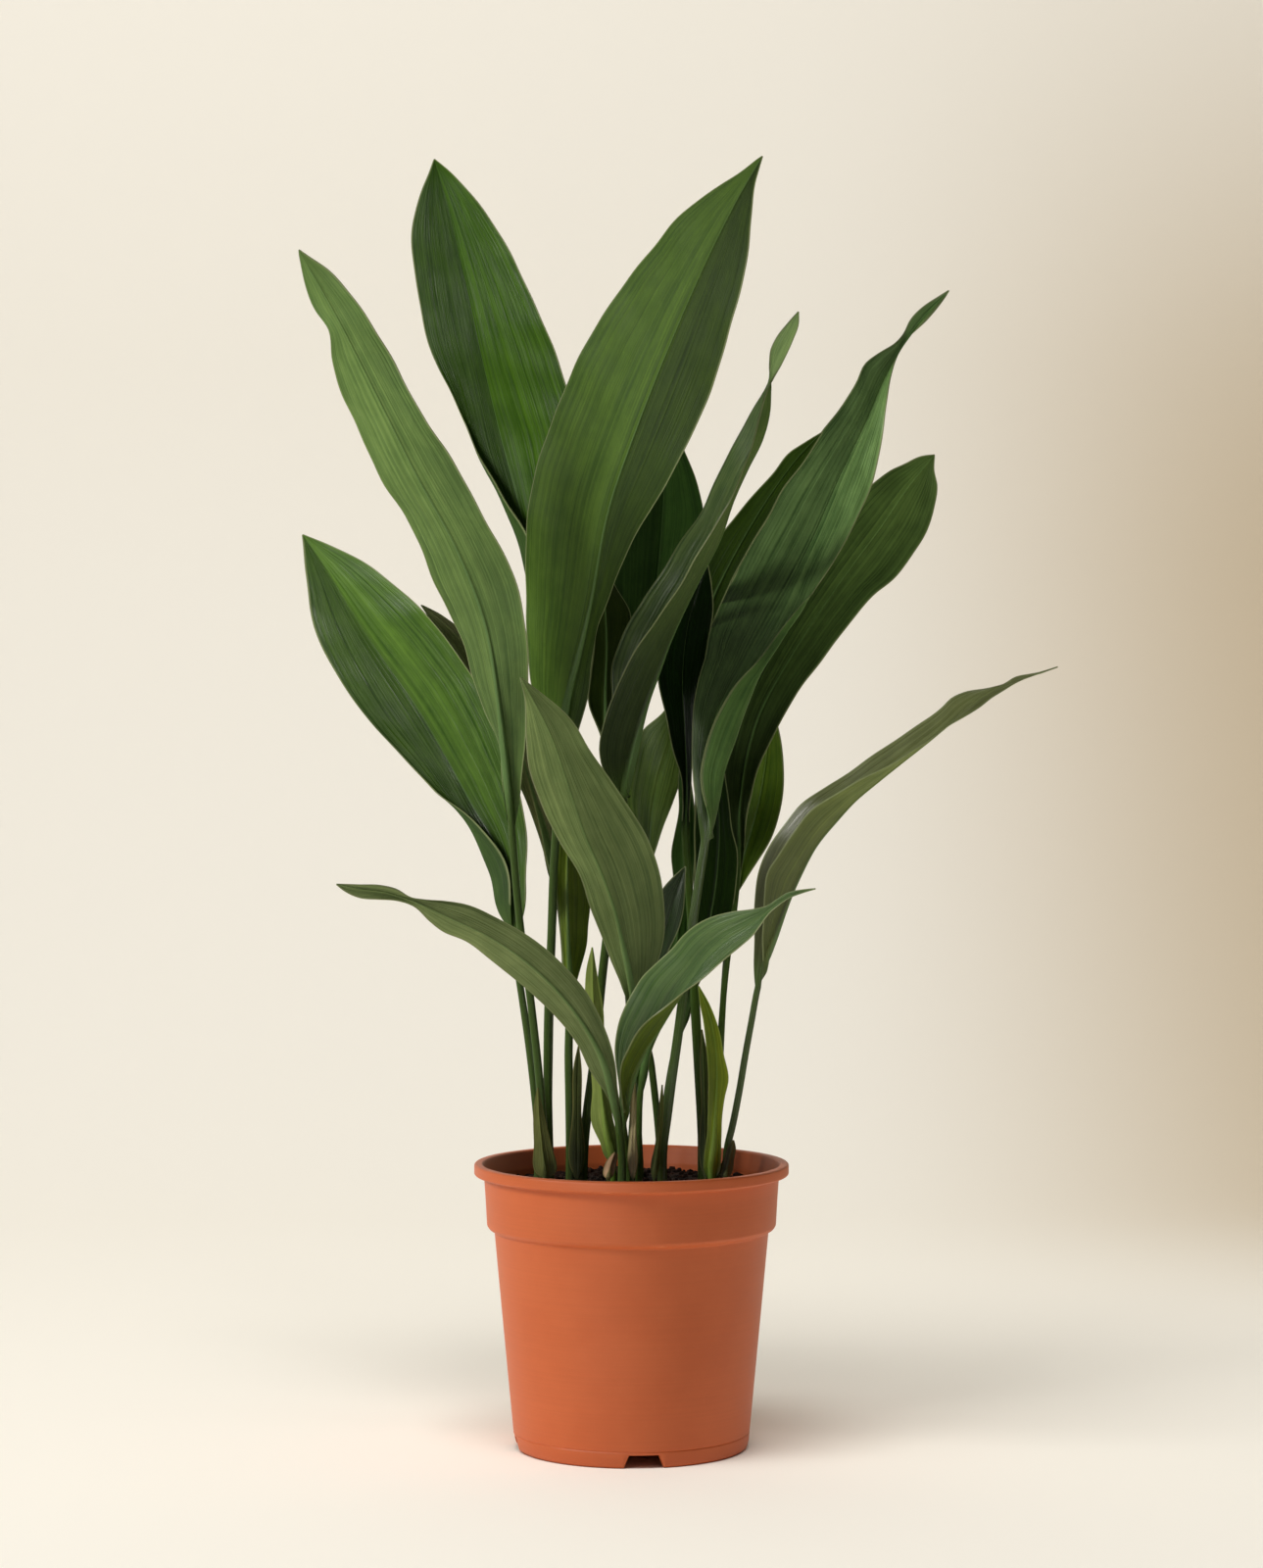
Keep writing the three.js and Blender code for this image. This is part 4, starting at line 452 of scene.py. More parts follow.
    "right": [[2.8, 183, 1], [2.8, 212, 1], [2.8, 234, 0]]
  },
  "sheath_d": {
    "front": "under", "r": [1.3, 1], "root": [-15.5, -26],
    "mid": [[-15.6, 178, -26], [-14, 188, -25], [-11, 197, -24]],
    "left": [[-18, 181, 2], [-16.6, 190, 2], [-14, 194, 1]],
    "right": [[-12.6, 182, 2], [-10.6, 190, 2], [-10, 195, 1]]
  },
  "sheath_e": {
    "front": "under", "r": [0.9, 0.7], "root": [15, -25],
    "mid": [[15, 178, -25], [17.8, 203, -23], [19.4, 223, -22], [20.5, 242, -21]],
    "left": [[13.9, 182, 1], [16.7, 204, 1], [18.5, 222, 1]],
    "right": [[16.3, 182, 1], [19, 204, 1], [20.6, 224, 1]]
  },
  "sheath_f": {
    "front": "under", "r": [1.1, 0.8], "root": [49.5, -15],
    "mid": [[49.4, 178.5, -15], [49, 215, -13], [48.4, 245, -12], [47, 279, -9]],
    "left": [[47.6, 184, 1], [47.2, 230, 1], [46.4, 260, 1]],
    "right": [[51, 184, 1], [50.6, 230, 1], [50, 262, 1]]
  },
  "sheath_g": {
    "front": "under", "r": [1.2, 0.9], "root": [63.5, -20],
    "mid": [[62.6, 178.5, -20], [65, 192, -19], [68.2, 205, -18]],
    "left": [[59.6, 182, 2], [62.6, 194, 2], [66, 202, 1]],
    "right": [[65.6, 182, 2], [68, 193, 2], [69.2, 200, 1]]
  }
}

# Colours of the side that shows in front: dark and light of its streaks
# Painted shading: each pair also makes a leaf darker where it stands in shade, lighter where lit
TONES_WITH_PAINTED_SHADING = {
    "leaf_a": ("#3d5a28", "#75914d"), "leaf_b": ("#264212", "#547528"), "leaf_c": ("#64683f", "#a0a474"),
    "leaf_d": ("#1b370a", "#486c18"), "leaf_e": ("#28440d", "#547224"), "leaf_f": ("#244119", "#44682b"),
    "leaf_g": ("#172a05", "#324111"), "leaf_h": ("#4c6840", "#8eaa68"), "leaf_i": ("#182c01", "#2f4803"),
    "leaf_j": ("#253f1b", "#6c8a50"), "leaf_k": ("#051201", "#112905"), "leaf_l": ("#243616", "#5c763a"),
    "leaf_m": ("#3c5b11", "#678123"), "leaf_n": ("#0d2200", "#1d3900"), "leaf_o": ("#223e12", "#426428"),
    "leaf_p": ("#1c3014", "#3c5430"), "leaf_q": ("#344b19", "#5d7231"), "leaf_r": ("#546b3a", "#91a566"),
    "leaf_s": ("#445a0f", "#788c29"), "leaf_t": ("#556939", "#90a169"), "leaf_u": ("#2c4a22", "#5a743f"),
    "leaf_v": ("#484e2b", "#7d8754"), "shoot_a": ("#586f25", "#8e9e52"), "shoot_b": ("#526a0d", "#8b9c22"),
    "sheath_a": ("#464c20", "#767c40"), "sheath_b": ("#222c0a", "#4a5420"),
    "sheath_c": ("#a89a66", "#e0d4aa"), "sheath_d": ("#9a7454", "#deba94"),
    "sheath_e": ("#3a4612", "#687430"), "sheath_f": ("#1e2c0a", "#40501c"),
    "sheath_g": ("#46441e", "#74703e"),
}
# Colours of the under face where it shows beside the upper one
BACK_TONES = {
    "leaf_v": ("#566728", "#8e9f50"), "leaf_h": ("#2f451a", "#4f642e"), "leaf_u": ("#3a4f02", "#607704"),
}
# Painted shading and light: brightness of a blade's left half, right half, base and tip as seen in front
PAINTED_SHADING = {
    "leaf_a": (1, 1, 0.8, 1.2), "leaf_b": (0.75, 1.25, 0.85, 1.15), "leaf_d": (0.72, 1.1, 0.95, 1.0),
    "leaf_e": (1.17, 0.66, 1.2, 0.85), "leaf_j": (0.75, 1.3, 1.1, 1.7), "leaf_r": (1.12, 0.88, 0.85, 1.15),
    "leaf_t": (1.04, 0.96, 0.85, 1.15), "leaf_u": (1, 1, 0.8, 1.2), "leaf_v": (1, 1, 0.45, 1.25),
    "leaf_h": (0.98, 1.02, 0.5, 1.85), "leaf_f": (0.75, 1.5, 1.2, 0.85), "leaf_i": (1, 1, 0.75, 1.25),
    "leaf_l": (1.08, 0.92, 0.42, 1.35), "leaf_m": (1, 1, 0.9, 1.1), "leaf_n": (1, 1, 1.2, 0.8),
    "leaf_k": (1.15, 0.85, 0.95, 1.05), "leaf_s": (1.12, 0.9, 1.25, 0.8), "leaf_q": (0.88, 1.12, 1.05, 0.95),
    "shoot_a": (1.03, 0.97, 1.05, 0.95), "shoot_b": (0.88, 1.14, 1.1, 0.9),
}
NO_PAINTED_SHADING = (1.0, 1.0, 1.0, 1.0)
# Gloss of the leaves that stand in the light, and of the rest
SHINES = {"leaf_a": 0.16, "leaf_b": 0.15, "leaf_d": 0.08, "leaf_e": 0.16, "leaf_h": 0.15, "leaf_j": 0.32,
          "leaf_u": 0.3, "leaf_v": 0.35}
UNDER_SHINE = 0.15
SHADED_SHINE = 0.08
SHADED_LEAVES = {"leaf_c", "leaf_f", "leaf_g", "leaf_i", "leaf_k", "leaf_l", "leaf_m", "leaf_n", "leaf_o",
                 "leaf_q"}
# Colours of a face that doesn't show in front
UPPER_TONES = ("#12300f", "#2f5a26")
UNDER_TONES = ("#2c4a1c", "#587a38")
# What leaves, shoots and sheaths share
KINDS = {
    "leaf": dict(rib="#5e7e48", margin="#8c9668", stalk="#3c5216", foot="#465220",
                 upper_rough=0.24, under_rough=0.5, bump=0.5, shine=0.35),
    "young_leaf": dict(rib="#7c9a3c", margin="#93a452", stalk="#4c6c22", foot="#6a7c34",
                       upper_rough=0.35, under_rough=0.45, bump=0.4, shine=0.45),
    "sheath": dict(rib="#5a6430", margin="#6e6a3a", stalk="#3c4a1c", foot="#444820",
                   upper_rough=0.55, under_rough=0.6, bump=0.8, shine=0.12),
}
KIND_OF_PREFIX = {"leaf": "leaf", "shoot": "young_leaf", "sheath": "sheath"}
# Leaf textures: scale across and along the veins, detail, roughness, and where the ramp starts and ends
GRAINS = {
    "fine": (900, 5, 1.0, 0.5, 0.3, 0.7),
    "streak": (430, 3.0, 3.0, 0.62, 0.32, 0.68),
    "broad": (80, 3.0, 2.0, 0.5, 0.3, 0.7),
    "mottle": (90, 50, 3.0, 0.6, 0.35, 0.7),
}
GRAIN_SHARES = {"fine": 0.3, "streak": 0.28, "broad": 0.2, "mottle": 0.22}
VEIN_SCALE = (420, 1.6)
VEIN_DEPTH = 0.4
VEIN_TINT = (0.35, 0.38, 0.3, 1)
HALF_BLUR = 0.007
# Masks: from, to, and the strength at either end
VEIN_MASK = (0.0, 0.03, 1.0, 0.0)
KEEL_MASK = (0.35, 1.0, 1.0, 0.0)
LINE_MASK = (0.1, 0.4, 0.9, 0.0)
RIB_FADE = (0.1, 0.9, 0.75, 0.35)
MARGIN_MASK = (0.35, 1.1, 0.75, 0.0)
STALK_FOOT_MASK = (-1.0, -0.62, 1.0, 0.0)
STALK_MASK = (-0.01, 0.09, 1.0, 0.0)
POT_EDGE_MASK = (0.53, 0.60, 0.0, 0.5)
POT_FOOT_MASK = (0.0, 0.014, 0.15, 0.0)
SOIL_ROUGHNESS = (0.3, 0.7, 0.75, 0.95)
# Noise: scale, detail and roughness
POT_CLOUD = (22, 4.0, 0.6)
POT_GRIT = (900, 2.0, 0.7)
SOIL_CRUMBLE = (520, 5.0, 0.75)
SOIL_CLOD = (70, 3.0, 0.6)
SOIL_STRAW = (620, 2.0, 0.5)
POT_DARK, POT_LIGHT = "#ca6435", "#cf693a"
POT_LINE, POT_DUST, POT_EDGE, POT_FOOT = "#b45a32", "#e09468", "#e08c60", "#843e22"
SOIL_DARK, SOIL_LIGHT, SOIL_CLUMP, SOIL_FIBRE = "#0e0907", "#35241c", "#4a2a1e", "#7a5f48"
POT_SHINE, SOIL_SHINE = 0.3, 0.1
POT_LINE_SCALE = (6, 6, 900)
# Depth of the finest relief, in metres
LEAF_BUMP, POT_BUMP, SOIL_BUMP = 0.0004, 0.0002, 0.0012
# The paper sweep in metres: its colour and its painted shade, half width, front, start of the bend, bend and
# top
PAPER_LIGHT, PAPER_PAINTED_SHADE = "#f6f2e9", "#d2c2a8"
PAPER_HALF_WIDTH = 4.5
PAPER_FRONT_Y = -5.0
PAPER_FLOOR_Y = 1.1
PAPER_BEND = 0.9
PAPER_TOP_Z = 4.2
PAPER_BEND_STEPS = 24
ROOM_TINT = (1.0, 0.965, 0.91, 1)
ROOM_STRENGTH = 0.1
ROOM_COLOUR = "#e6ddcb"
PAPER_WARM = (1.0, 0.985, 0.955)
# Lamps: name, place, aim, size, power, tint, and whether the paper is all they light or left out
LAMPS = [
    ("key", (-2.42, -1.15, 1.9), (0, 0.1, 0.45), (1.0, 1.0), 64, (1.0, 0.97, 0.92), "EXCLUDE"),
    ("fill", (2.2, -2.2, 1.4), (0, 0, 0.4), (1.6, 1.6), 0.7, (1.0, 0.98, 0.96), "EXCLUDE"),
    ("sheen", (-1.15, -2.35, 1.0), (0, 0, 0.5), (0.7, 0.7), 42, (1.0, 0.98, 0.92), "EXCLUDE"),
    ("paper_key", (-2.4, -1.8, 2.6), (0, 0.4, 0.3), (2.4, 2.4), 22, PAPER_WARM, "INCLUDE"),
    ("paper_wash", (-0.6, -1.4, 4.0), (0, 1.35, 0.6), (3.0, 1.6), 150, PAPER_WARM, "INCLUDE"),
]


def linear(hex_code):
    """A screen colour such as #c86a42 as linear RGBA."""
    def channel(v):
        return v / 12.92 if v <= 0.04045 else ((v + 0.055) / 1.055) ** 2.4
    parts = [int(hex_code[i:i + 2], 16) / 255 for i in (1, 3, 5)]
    return tuple(channel(v) for v in parts) + (1.0,)


def smooth(v):
    v = np.clip(v, 0.0, 1.0)
    return v * v * (3 - 2 * v)


# Mesh helpers

def new_piece(name, verts, faces, material, slot, replaced=(), sharp=50):
    """A smooth-shaded mesh object that rides with the part, unless it has no slot."""
    mesh = bpy.data.meshes.new(name)
    mesh.from_pydata(verts, [], faces)
    mesh.validate()
    mesh.polygons.foreach_set("use_smooth", [True] * len(mesh.polygons))
    mesh.set_sharp_from_angle(angle=math.radians(sharp))
    mesh.materials.append(material)
    piece = bpy.data.objects.new(name, mesh)
    bpy.context.scene.collection.objects.link(piece)
    if slot:
        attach(piece, "root")
    for node in replaced:
        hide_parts(node)
    return piece


def give(mesh, name, values, kind="FLOAT_VECTOR", field="vector"):
    """A value at each point of a mesh, which its material reads by name."""
    attribute = mesh.attributes.new(name, kind, "POINT")
    attribute.data.foreach_set(field, np.ascontiguousarray(values, np.float32).ravel())


# Leaves

class Rail:
    """A smooth line through points, read by distance along it in front view."""
    def __init__(self, points):
        p = np.array(points, float)
        gaps = np.maximum(np.hypot(*(p[1:, :2] - p[:-1, :2]).T), 0.5)
        slopes = (p[1:] - p[:-1]) / gaps[:, None]
        tangents = np.empty_like(p)
        tangents[0], tangents[-1] = slopes[0], slopes[-1]
        before, after = gaps[:-1, None], gaps[1:, None]
        tangents[1:-1] = (slopes[1:] * before + slopes[:-1] * after) / (before + after)
        u = (np.arange(RAIL_STEPS) / RAIL_STEPS)[None, :, None]
        h = gaps[:, None, None]
        line = ((2 * u**3 - 3 * u**2 + 1) * p[:-1, None] + (u**3 - 2 * u**2 + u) * h * tangents[:-1, None]
                + (3 * u**2 - 2 * u**3) * p[1:, None] + (u**3 - u**2) * h * tangents[1:, None])
        self.line = np.concatenate([line.reshape(-1, 3), p[-1:]])
        steps = np.hypot(*(self.line[1:, :2] - self.line[:-1, :2]).T)
        self.along = np.concatenate([[0], np.cumsum(steps)])
        self.total = self.along[-1]

    def at(self, s):
        return np.stack([np.interp(s, self.along, self.line[:, k]) for k in range(3)], -1)

    def knot(self, i):
        return self.along[i * RAIL_STEPS]


def to_real(p):
    """From the front view and a depth to real places."""
    k = (EYE_DISTANCE + p[..., 2]) / EYE_DISTANCE
    return np.stack([p[..., 0] * k, p[..., 2], EYE_Z + (p[..., 1] - EYE_Z) * k], -1)


def to_view(x, y, z):
    """From a real place to the front view and its depth."""
    k = EYE_DISTANCE / (EYE_DISTANCE + y)
    return [x * k, EYE_Z + (z - EYE_Z) * k, y]


def half_distances(width, radius, inner, outer):
    """Distances from the midrib over one half, close together near it: one row per station."""
    spread = smooth((width / radius - 1) / JOINT_RUN)[:, None]
    joint = radius[:, None] * (JOINT_LEAST + JOINT_SPAN * spread)
    near = joint * (np.arange(inner) / inner)[None, :]
    far = joint + (width[:, None] - joint) * (np.arange(outer + 1) / outer)[None, :]
    return np.concatenate([near, far], 1)


def blade_relief(seed, s, t, on_stalk, d, width, radius):
    """Height of a blade's ribs and waves, less the groove over its midrib."""
    chance = random.Random(seed)
    phase = [chance.uniform(0, 2 * math.pi) for _ in range(PHASES)]
    length = chance.uniform(*WAVE_LENGTHS)
    f, full, row_t, along = d / width, width.max(), t[:, None], s[:, None]
    a, half = np.abs(f), np.sign(f)
    drift = phase[0] + 1.3 * np.sin(4 * row_t + phase[1]) + 0.9 * half
    ribs = BROAD_RIB * np.cos(2 * np.pi * full / BROAD_RIB_PITCH * a + drift)
    drift = phase[2] + 0.8 * np.sin(7 * row_t + phase[3])
    ribs += FINE_RIB * np.cos(2 * np.pi * full / FINE_RIB_PITCH * a + drift)
    off_rib = smooth((np.abs(d) - radius[:, None]) / RIB_GAP)
    ribs *= (width / full) ** 1.3 * off_rib * (1 - 0.6 * smooth((a - 0.85) / 0.15))
    waves = WAVE * a**2 * np.sin(2 * np.pi * along / length + phase[4] + 1.8 * half)
    waves += RIPPLE * a * np.sin(2 * np.pi * along / RIPPLE_LENGTH + phase[5] + 4 * f)
    groove = GROOVE_DEPTH * np.exp(-(d / (0.8 * radius[:, None] + 0.5)) ** 2)
    blade = (smooth(t / RELIEF_START) * smooth((1 - t) / RELIEF_END))[:, None] * ~on_stalk[:, None]
    return (ribs + waves) * blade * min(1.0, full / FULL_RELIEF_WIDTH) - groove * blade


def leaf_grid(leaf, seed, stalk_rows, blade_rows, inner, outer):
    """Upper and under skins as grids of points, with what the material reads at each point."""
    x, y = leaf["root"]
    stalk = [to_view(x, y, STALK_FOOT_Z), to_view(x, y, STALK_STRAIGHT_TO_Z)] + leaf.get("petiole", [])
    centre = Rail(stalk + leaf["mid"])
    neck = centre.knot(len(stalk))
    base, tip = leaf["mid"][0][:2] + [0], leaf["mid"][-1][:2] + [0]
    rails = {k: Rail([base] + leaf[k] + [tip])
             for k in ("left", "right", "fold_left", "fold_right") if k in leaf}
    foot_radius, neck_radius = leaf["r"]
    # Stations: t is 0 along the stalk and runs to 1 at the tip, s is the distance from the foot
    even = np.linspace(0, 1, blade_rows + 1)
    blade_t = EVEN_ROWS * even + (1 - EVEN_ROWS) * (0.5 - 0.5 * np.cos(np.pi * even))
    stalk_t = np.arange(stalk_rows) / stalk_rows
    t = np.concatenate([np.zeros(stalk_rows), blade_t])
    s = np.concatenate([neck * stalk_t, neck + (centre.total - neck) * blade_t])
    on_stalk = np.arange(len(t)) < stalk_rows
    middle = centre.at(s)
    run = centre.at(np.minimum(s + 1, centre.total)) - centre.at(np.maximum(s - 1, 0))
    run /= np.hypot(run[:, 0], run[:, 1])[:, None]
    side = np.stack([run[:, 1], -run[:, 0], np.zeros(len(s))], -1)
    radius = np.where(on_stalk, foot_radius + (neck_radius - foot_radius) * s / neck,
                      KEEL_TIP_RADIUS + (neck_radius - KEEL_TIP_RADIUS) * (1 - t) ** KEEL_TAPER)
    in_base = np.where(on_stalk, 1.0, 1 - smooth(t / BASE_SHARE))
    spread = np.where(on_stalk, radius, np.maximum(neck_radius * in_base, 0.5))[:, None]
    under = leaf["front"] == "under"
    flat = middle * [1, 1, 0]

    def half(name, sign):
        """One half in front view: a bow from the midrib past its fold to the margin."""
        reach = rails[name].at(rails[name].total * t) - flat
        edge = np.where(on_stalk[:, None], 0, reach) + side * spread * sign
        bow = np.linalg.norm(edge, axis=1) * (HALF_BOW if under else -HALF_BOW) * ~on_stalk
        fold = edge / 2 + bow[:, None] * [0, 0, 1]
        if "fold_" + name in rails:
            rail = rails["fold_" + name]
            folded = rail.at(rail.total * t) - flat + side * spread * sign / 2
            fold = np.where(on_stalk[:, None], fold, folded)
        width = np.maximum(np.linalg.norm(fold, axis=1) + np.linalg.norm(edge - fold, axis=1), radius)
        d = half_distances(width, radius, inner, outer)
        f = (d / width[:, None])[..., None]
        points = middle[:, None] + fold[:, None] * 4 * f * (1 - f) + edge[:, None] * f * (2 * f - 1)
        return points, d, width, (4 * fold - edge) / width[:, None]

    left, d_left, w_left, out_left = half("left", -1)
    right, d_right, w_right, out_right = half("right", 1)
    # The crease over the midrib opens into a soft bend higher up the blade
    opened = smooth((t - CREASE_FROM) / CREASE_RUN) * ~on_stalk
    bend = (CREASE_SHARE * np.minimum(w_left, w_right) * opened)[:, None]
    crease = ((out_left + out_right) / 2)[:, None]

    def softened(skin, d, width):
        lift = np.sqrt(d**2 + bend**2) - d
        level = lift - bend * (1 - d / width[:, None])
        return skin + crease * np.stack([level, level, lift], -1)

    left, right = softened(left, d_left, w_left), softened(right, d_right, w_right)
    points = to_real(np.concatenate([left[:, :0:-1], right], 1))
    # One grid across both halves, sunk towards the base so that the midrib runs into the stalk
    d = np.concatenate([-d_left[:, :0:-1], d_right], 1)
    width = np.concatenate([np.repeat(w_left[:, None], d_left.shape[1] - 1, 1),
                            np.repeat(w_right[:, None], d_right.shape[1], 1)], 1)
    f = d / width
    normal = np.cross(np.gradient(points, axis=0), np.gradient(points, axis=1))
    normal /= np.maximum(np.linalg.norm(normal, axis=-1, keepdims=True), 1e-9)
    down = -normal if under else normal
    middle_column = points.shape[1] // 2
    sink = (SINK_SHARE * radius * in_base)[:, None] * (1 - 0.6 * f**2)
    points = points - down[:, middle_column:middle_column + 1] * sink[..., None]
    flatten = np.where(on_stalk, 1.0, 1 - KEEL_FLATTENING * smooth(t / KEEL_FLAT_AT))[:, None]
    keel = KEEL_DEPTH * radius[:, None] * flatten * np.sqrt(np.clip(1 - (d / radius[:, None]) ** 2, 0, 1))

    relief = blade_relief(seed, s, t, on_stalk, d, width, radius)
    points = points - down * relief[..., None]
    skins = [points, points + down * (BLADE_THICKNESS + keel)[..., None]]
    # For the material: place in the grain, midrib and position along, distance from the margin
    along = np.broadcast_to(s[:, None], f.shape)
    grain = np.stack([f * width.max() * MM, along * MM, np.full(f.shape, seed * GRAIN_STEP)], -1)
    from_midrib = np.clip(np.abs(d) / radius[:, None], 0, MIDRIB_REACH)
    place = np.where(on_stalk, s / neck - 1, t)[:, None]
    zone = np.stack([from_midrib, np.broadcast_to(place, f.shape), f * 0], -1)
    near_base = BASE_MARGIN * (1 - smooth(t / BASE_MARGIN_RUN))[:, None]
    margin = np.where(on_stalk[:, None], NO_MARGIN, width - np.abs(d) + near_base)
    return skins, grain, zone, margin, under


def leaf_piece(name, leaf, seed, material, slot):
    if not name.startswith("leaf"):
        detail = SMALL_GRID
    elif name in PLAIN_LEAVES:
        detail = PLAIN_GRID
    else:
        detail = FINE_GRID
    skins, grain, zone, margin, under = leaf_grid(leaf, seed, *detail)
    rows, columns = grain.shape[:2]
    verts = np.concatenate([skin.reshape(-1, 3) for skin in skins]) * MM
    top = np.arange(rows * columns).reshape(rows, columns)
    low = top + rows * columns

    def quads(a, b, c, d):
        return np.stack([a.ravel(), b.ravel(), c.ravel(), d.ravel()], 1)

    faces = np.concatenate([
        quads(top[:-1, :-1], top[:-1, 1:], top[1:, 1:], top[1:, :-1]),
        quads(low[:-1, :-1], low[1:, :-1], low[1:, 1:], low[:-1, 1:]),
        quads(top[:-1, 0], top[1:, 0], low[1:, 0], low[:-1, 0]),
        quads(top[:-1, -1], low[:-1, -1], low[1:, -1], top[1:, -1]),
        quads(top[0, :-1], low[0, :-1], low[0, 1:], top[0, 1:]),
        quads(top[-1, :-1], top[-1, 1:], low[-1, 1:], low[-1, :-1]),
    ])
    if under:
        faces = faces[:, ::-1]
    piece = new_piece(name + "_fine", verts.tolist(), faces.tolist(), material, slot, [name])
    both = np.concatenate([zone.reshape(-1, 3), zone.reshape(-1, 3)])
    both[rows * columns:, 2] = 1
    give(piece.data, "grain", np.concatenate([grain.reshape(-1, 3)] * 2))
    give(piece.data, "zone", both)
    give(piece.data, "margin", np.concatenate([margin.ravel()] * 2), "FLOAT", "value")


# Shader helpers

COLOUR, FLOAT = "NodeSocketColor", "NodeSocketFloat"


def wire(tree, kind, sockets=None, **settings):
    """A new shader node with its settings, its sockets linked or set."""
    made = tree.nodes.new(kind)
    for key, value in settings.items():
        setattr(made, key, value)
    for key, value in (sockets or {}).items():
        socket = made.inputs[key]
        if isinstance(value, bpy.types.NodeSocket):
            tree.links.new(value, socket)
        else:
            socket.default_value = value
    return made


def maths(tree, operation, a, b=0.0):
    return wire(tree, "ShaderNodeMath", {0: a, 1: b}, operation=operation).outputs[0]


def times(tree, vector, factors):
    return wire(tree, "ShaderNodeVectorMath", {0: vector, 1: factors}, operation="MULTIPLY").outputs[0]


def scaled(tree, value, factor, plus=0.0):
    """value * factor + plus."""
    made = wire(tree, "ShaderNodeMath", {0: value, 1: factor, 2: plus}, operation="MULTIPLY_ADD")
    return made.outputs[0]


def ramp(tree, value, low, high, to_low=0.0, to_high=1.0):
    """A value smoothly carried from low..high to to_low..to_high."""
    made = wire(tree, "ShaderNodeMapRange", {0: value, 1: low, 2: high, 3: to_low, 4: to_high},
                interpolation_type="SMOOTHSTEP")
    return made.outputs[0]


def mixed(tree, mask, a, b):
    return wire(tree, "ShaderNodeMix", {0: mask, 2: a, 3: b}).outputs[0]


def blend(tree, mask, a, b, how="MIX"):
    made = wire(tree, "ShaderNodeMix", {0: mask, 6: a, 7: b}, data_type="RGBA", blend_type=how)
    return made.outputs[2]


def speckle(tree, vector, scale, detail=2.0, rough=0.5):
    made = wire(tree, "ShaderNodeTexNoise", {"Vector": vector, "Scale": scale, "Detail": detail,
                                             "Roughness": rough})
    return made.outputs["Fac"]


def group_shell(name, inputs, outputs):
    """An empty node group with its sockets."""
    tree = bpy.data.node_groups.new(name, "ShaderNodeTree")
    for label, kind, value in inputs:
        socket = tree.interface.new_socket(label, in_out="INPUT", socket_type=kind)
        socket.default_value = value
    for label, kind in outputs:
        tree.interface.new_socket(label, in_out="OUTPUT", socket_type=kind)
    return tree, tree.nodes.new("NodeGroupInput").outputs, tree.nodes.new("NodeGroupOutput").inputs


def material_shell(name):
    """An empty material with its Principled surface wired to the output."""
    material = bpy.data.materials.new(name)
    material.use_nodes = True
    tree = material.node_tree
    tree.nodes.clear()
    surface = tree.nodes.new("ShaderNodeBsdfPrincipled")
    output = tree.nodes.new("ShaderNodeOutputMaterial")
    tree.links.new(surface.outputs[0], output.inputs["Surface"])
    return material, tree, surface


def finish_surface(tree, surface, colour, rough, height, strength, distance, gloss):
    """Wires colour, roughness and a bump to a surface, and sets its gloss."""
    bump = wire(tree, "ShaderNodeBump", {"Height": height, "Strength": strength, "Distance": distance})
    tree.links.new(colour, surface.inputs["Base Color"])
    tree.links.new(rough, surface.inputs["Roughness"])
    tree.links.new(bump.outputs[0], surface.inputs["Normal"])
    surface.inputs["Specular IOR Level"].default_value = gloss


def use_group(tree, group, values):
    made = tree.nodes.new("ShaderNodeGroup")
    made.node_tree = group
    for key, value in values.items():
        made.inputs[key].default_value = value
    return made.outputs


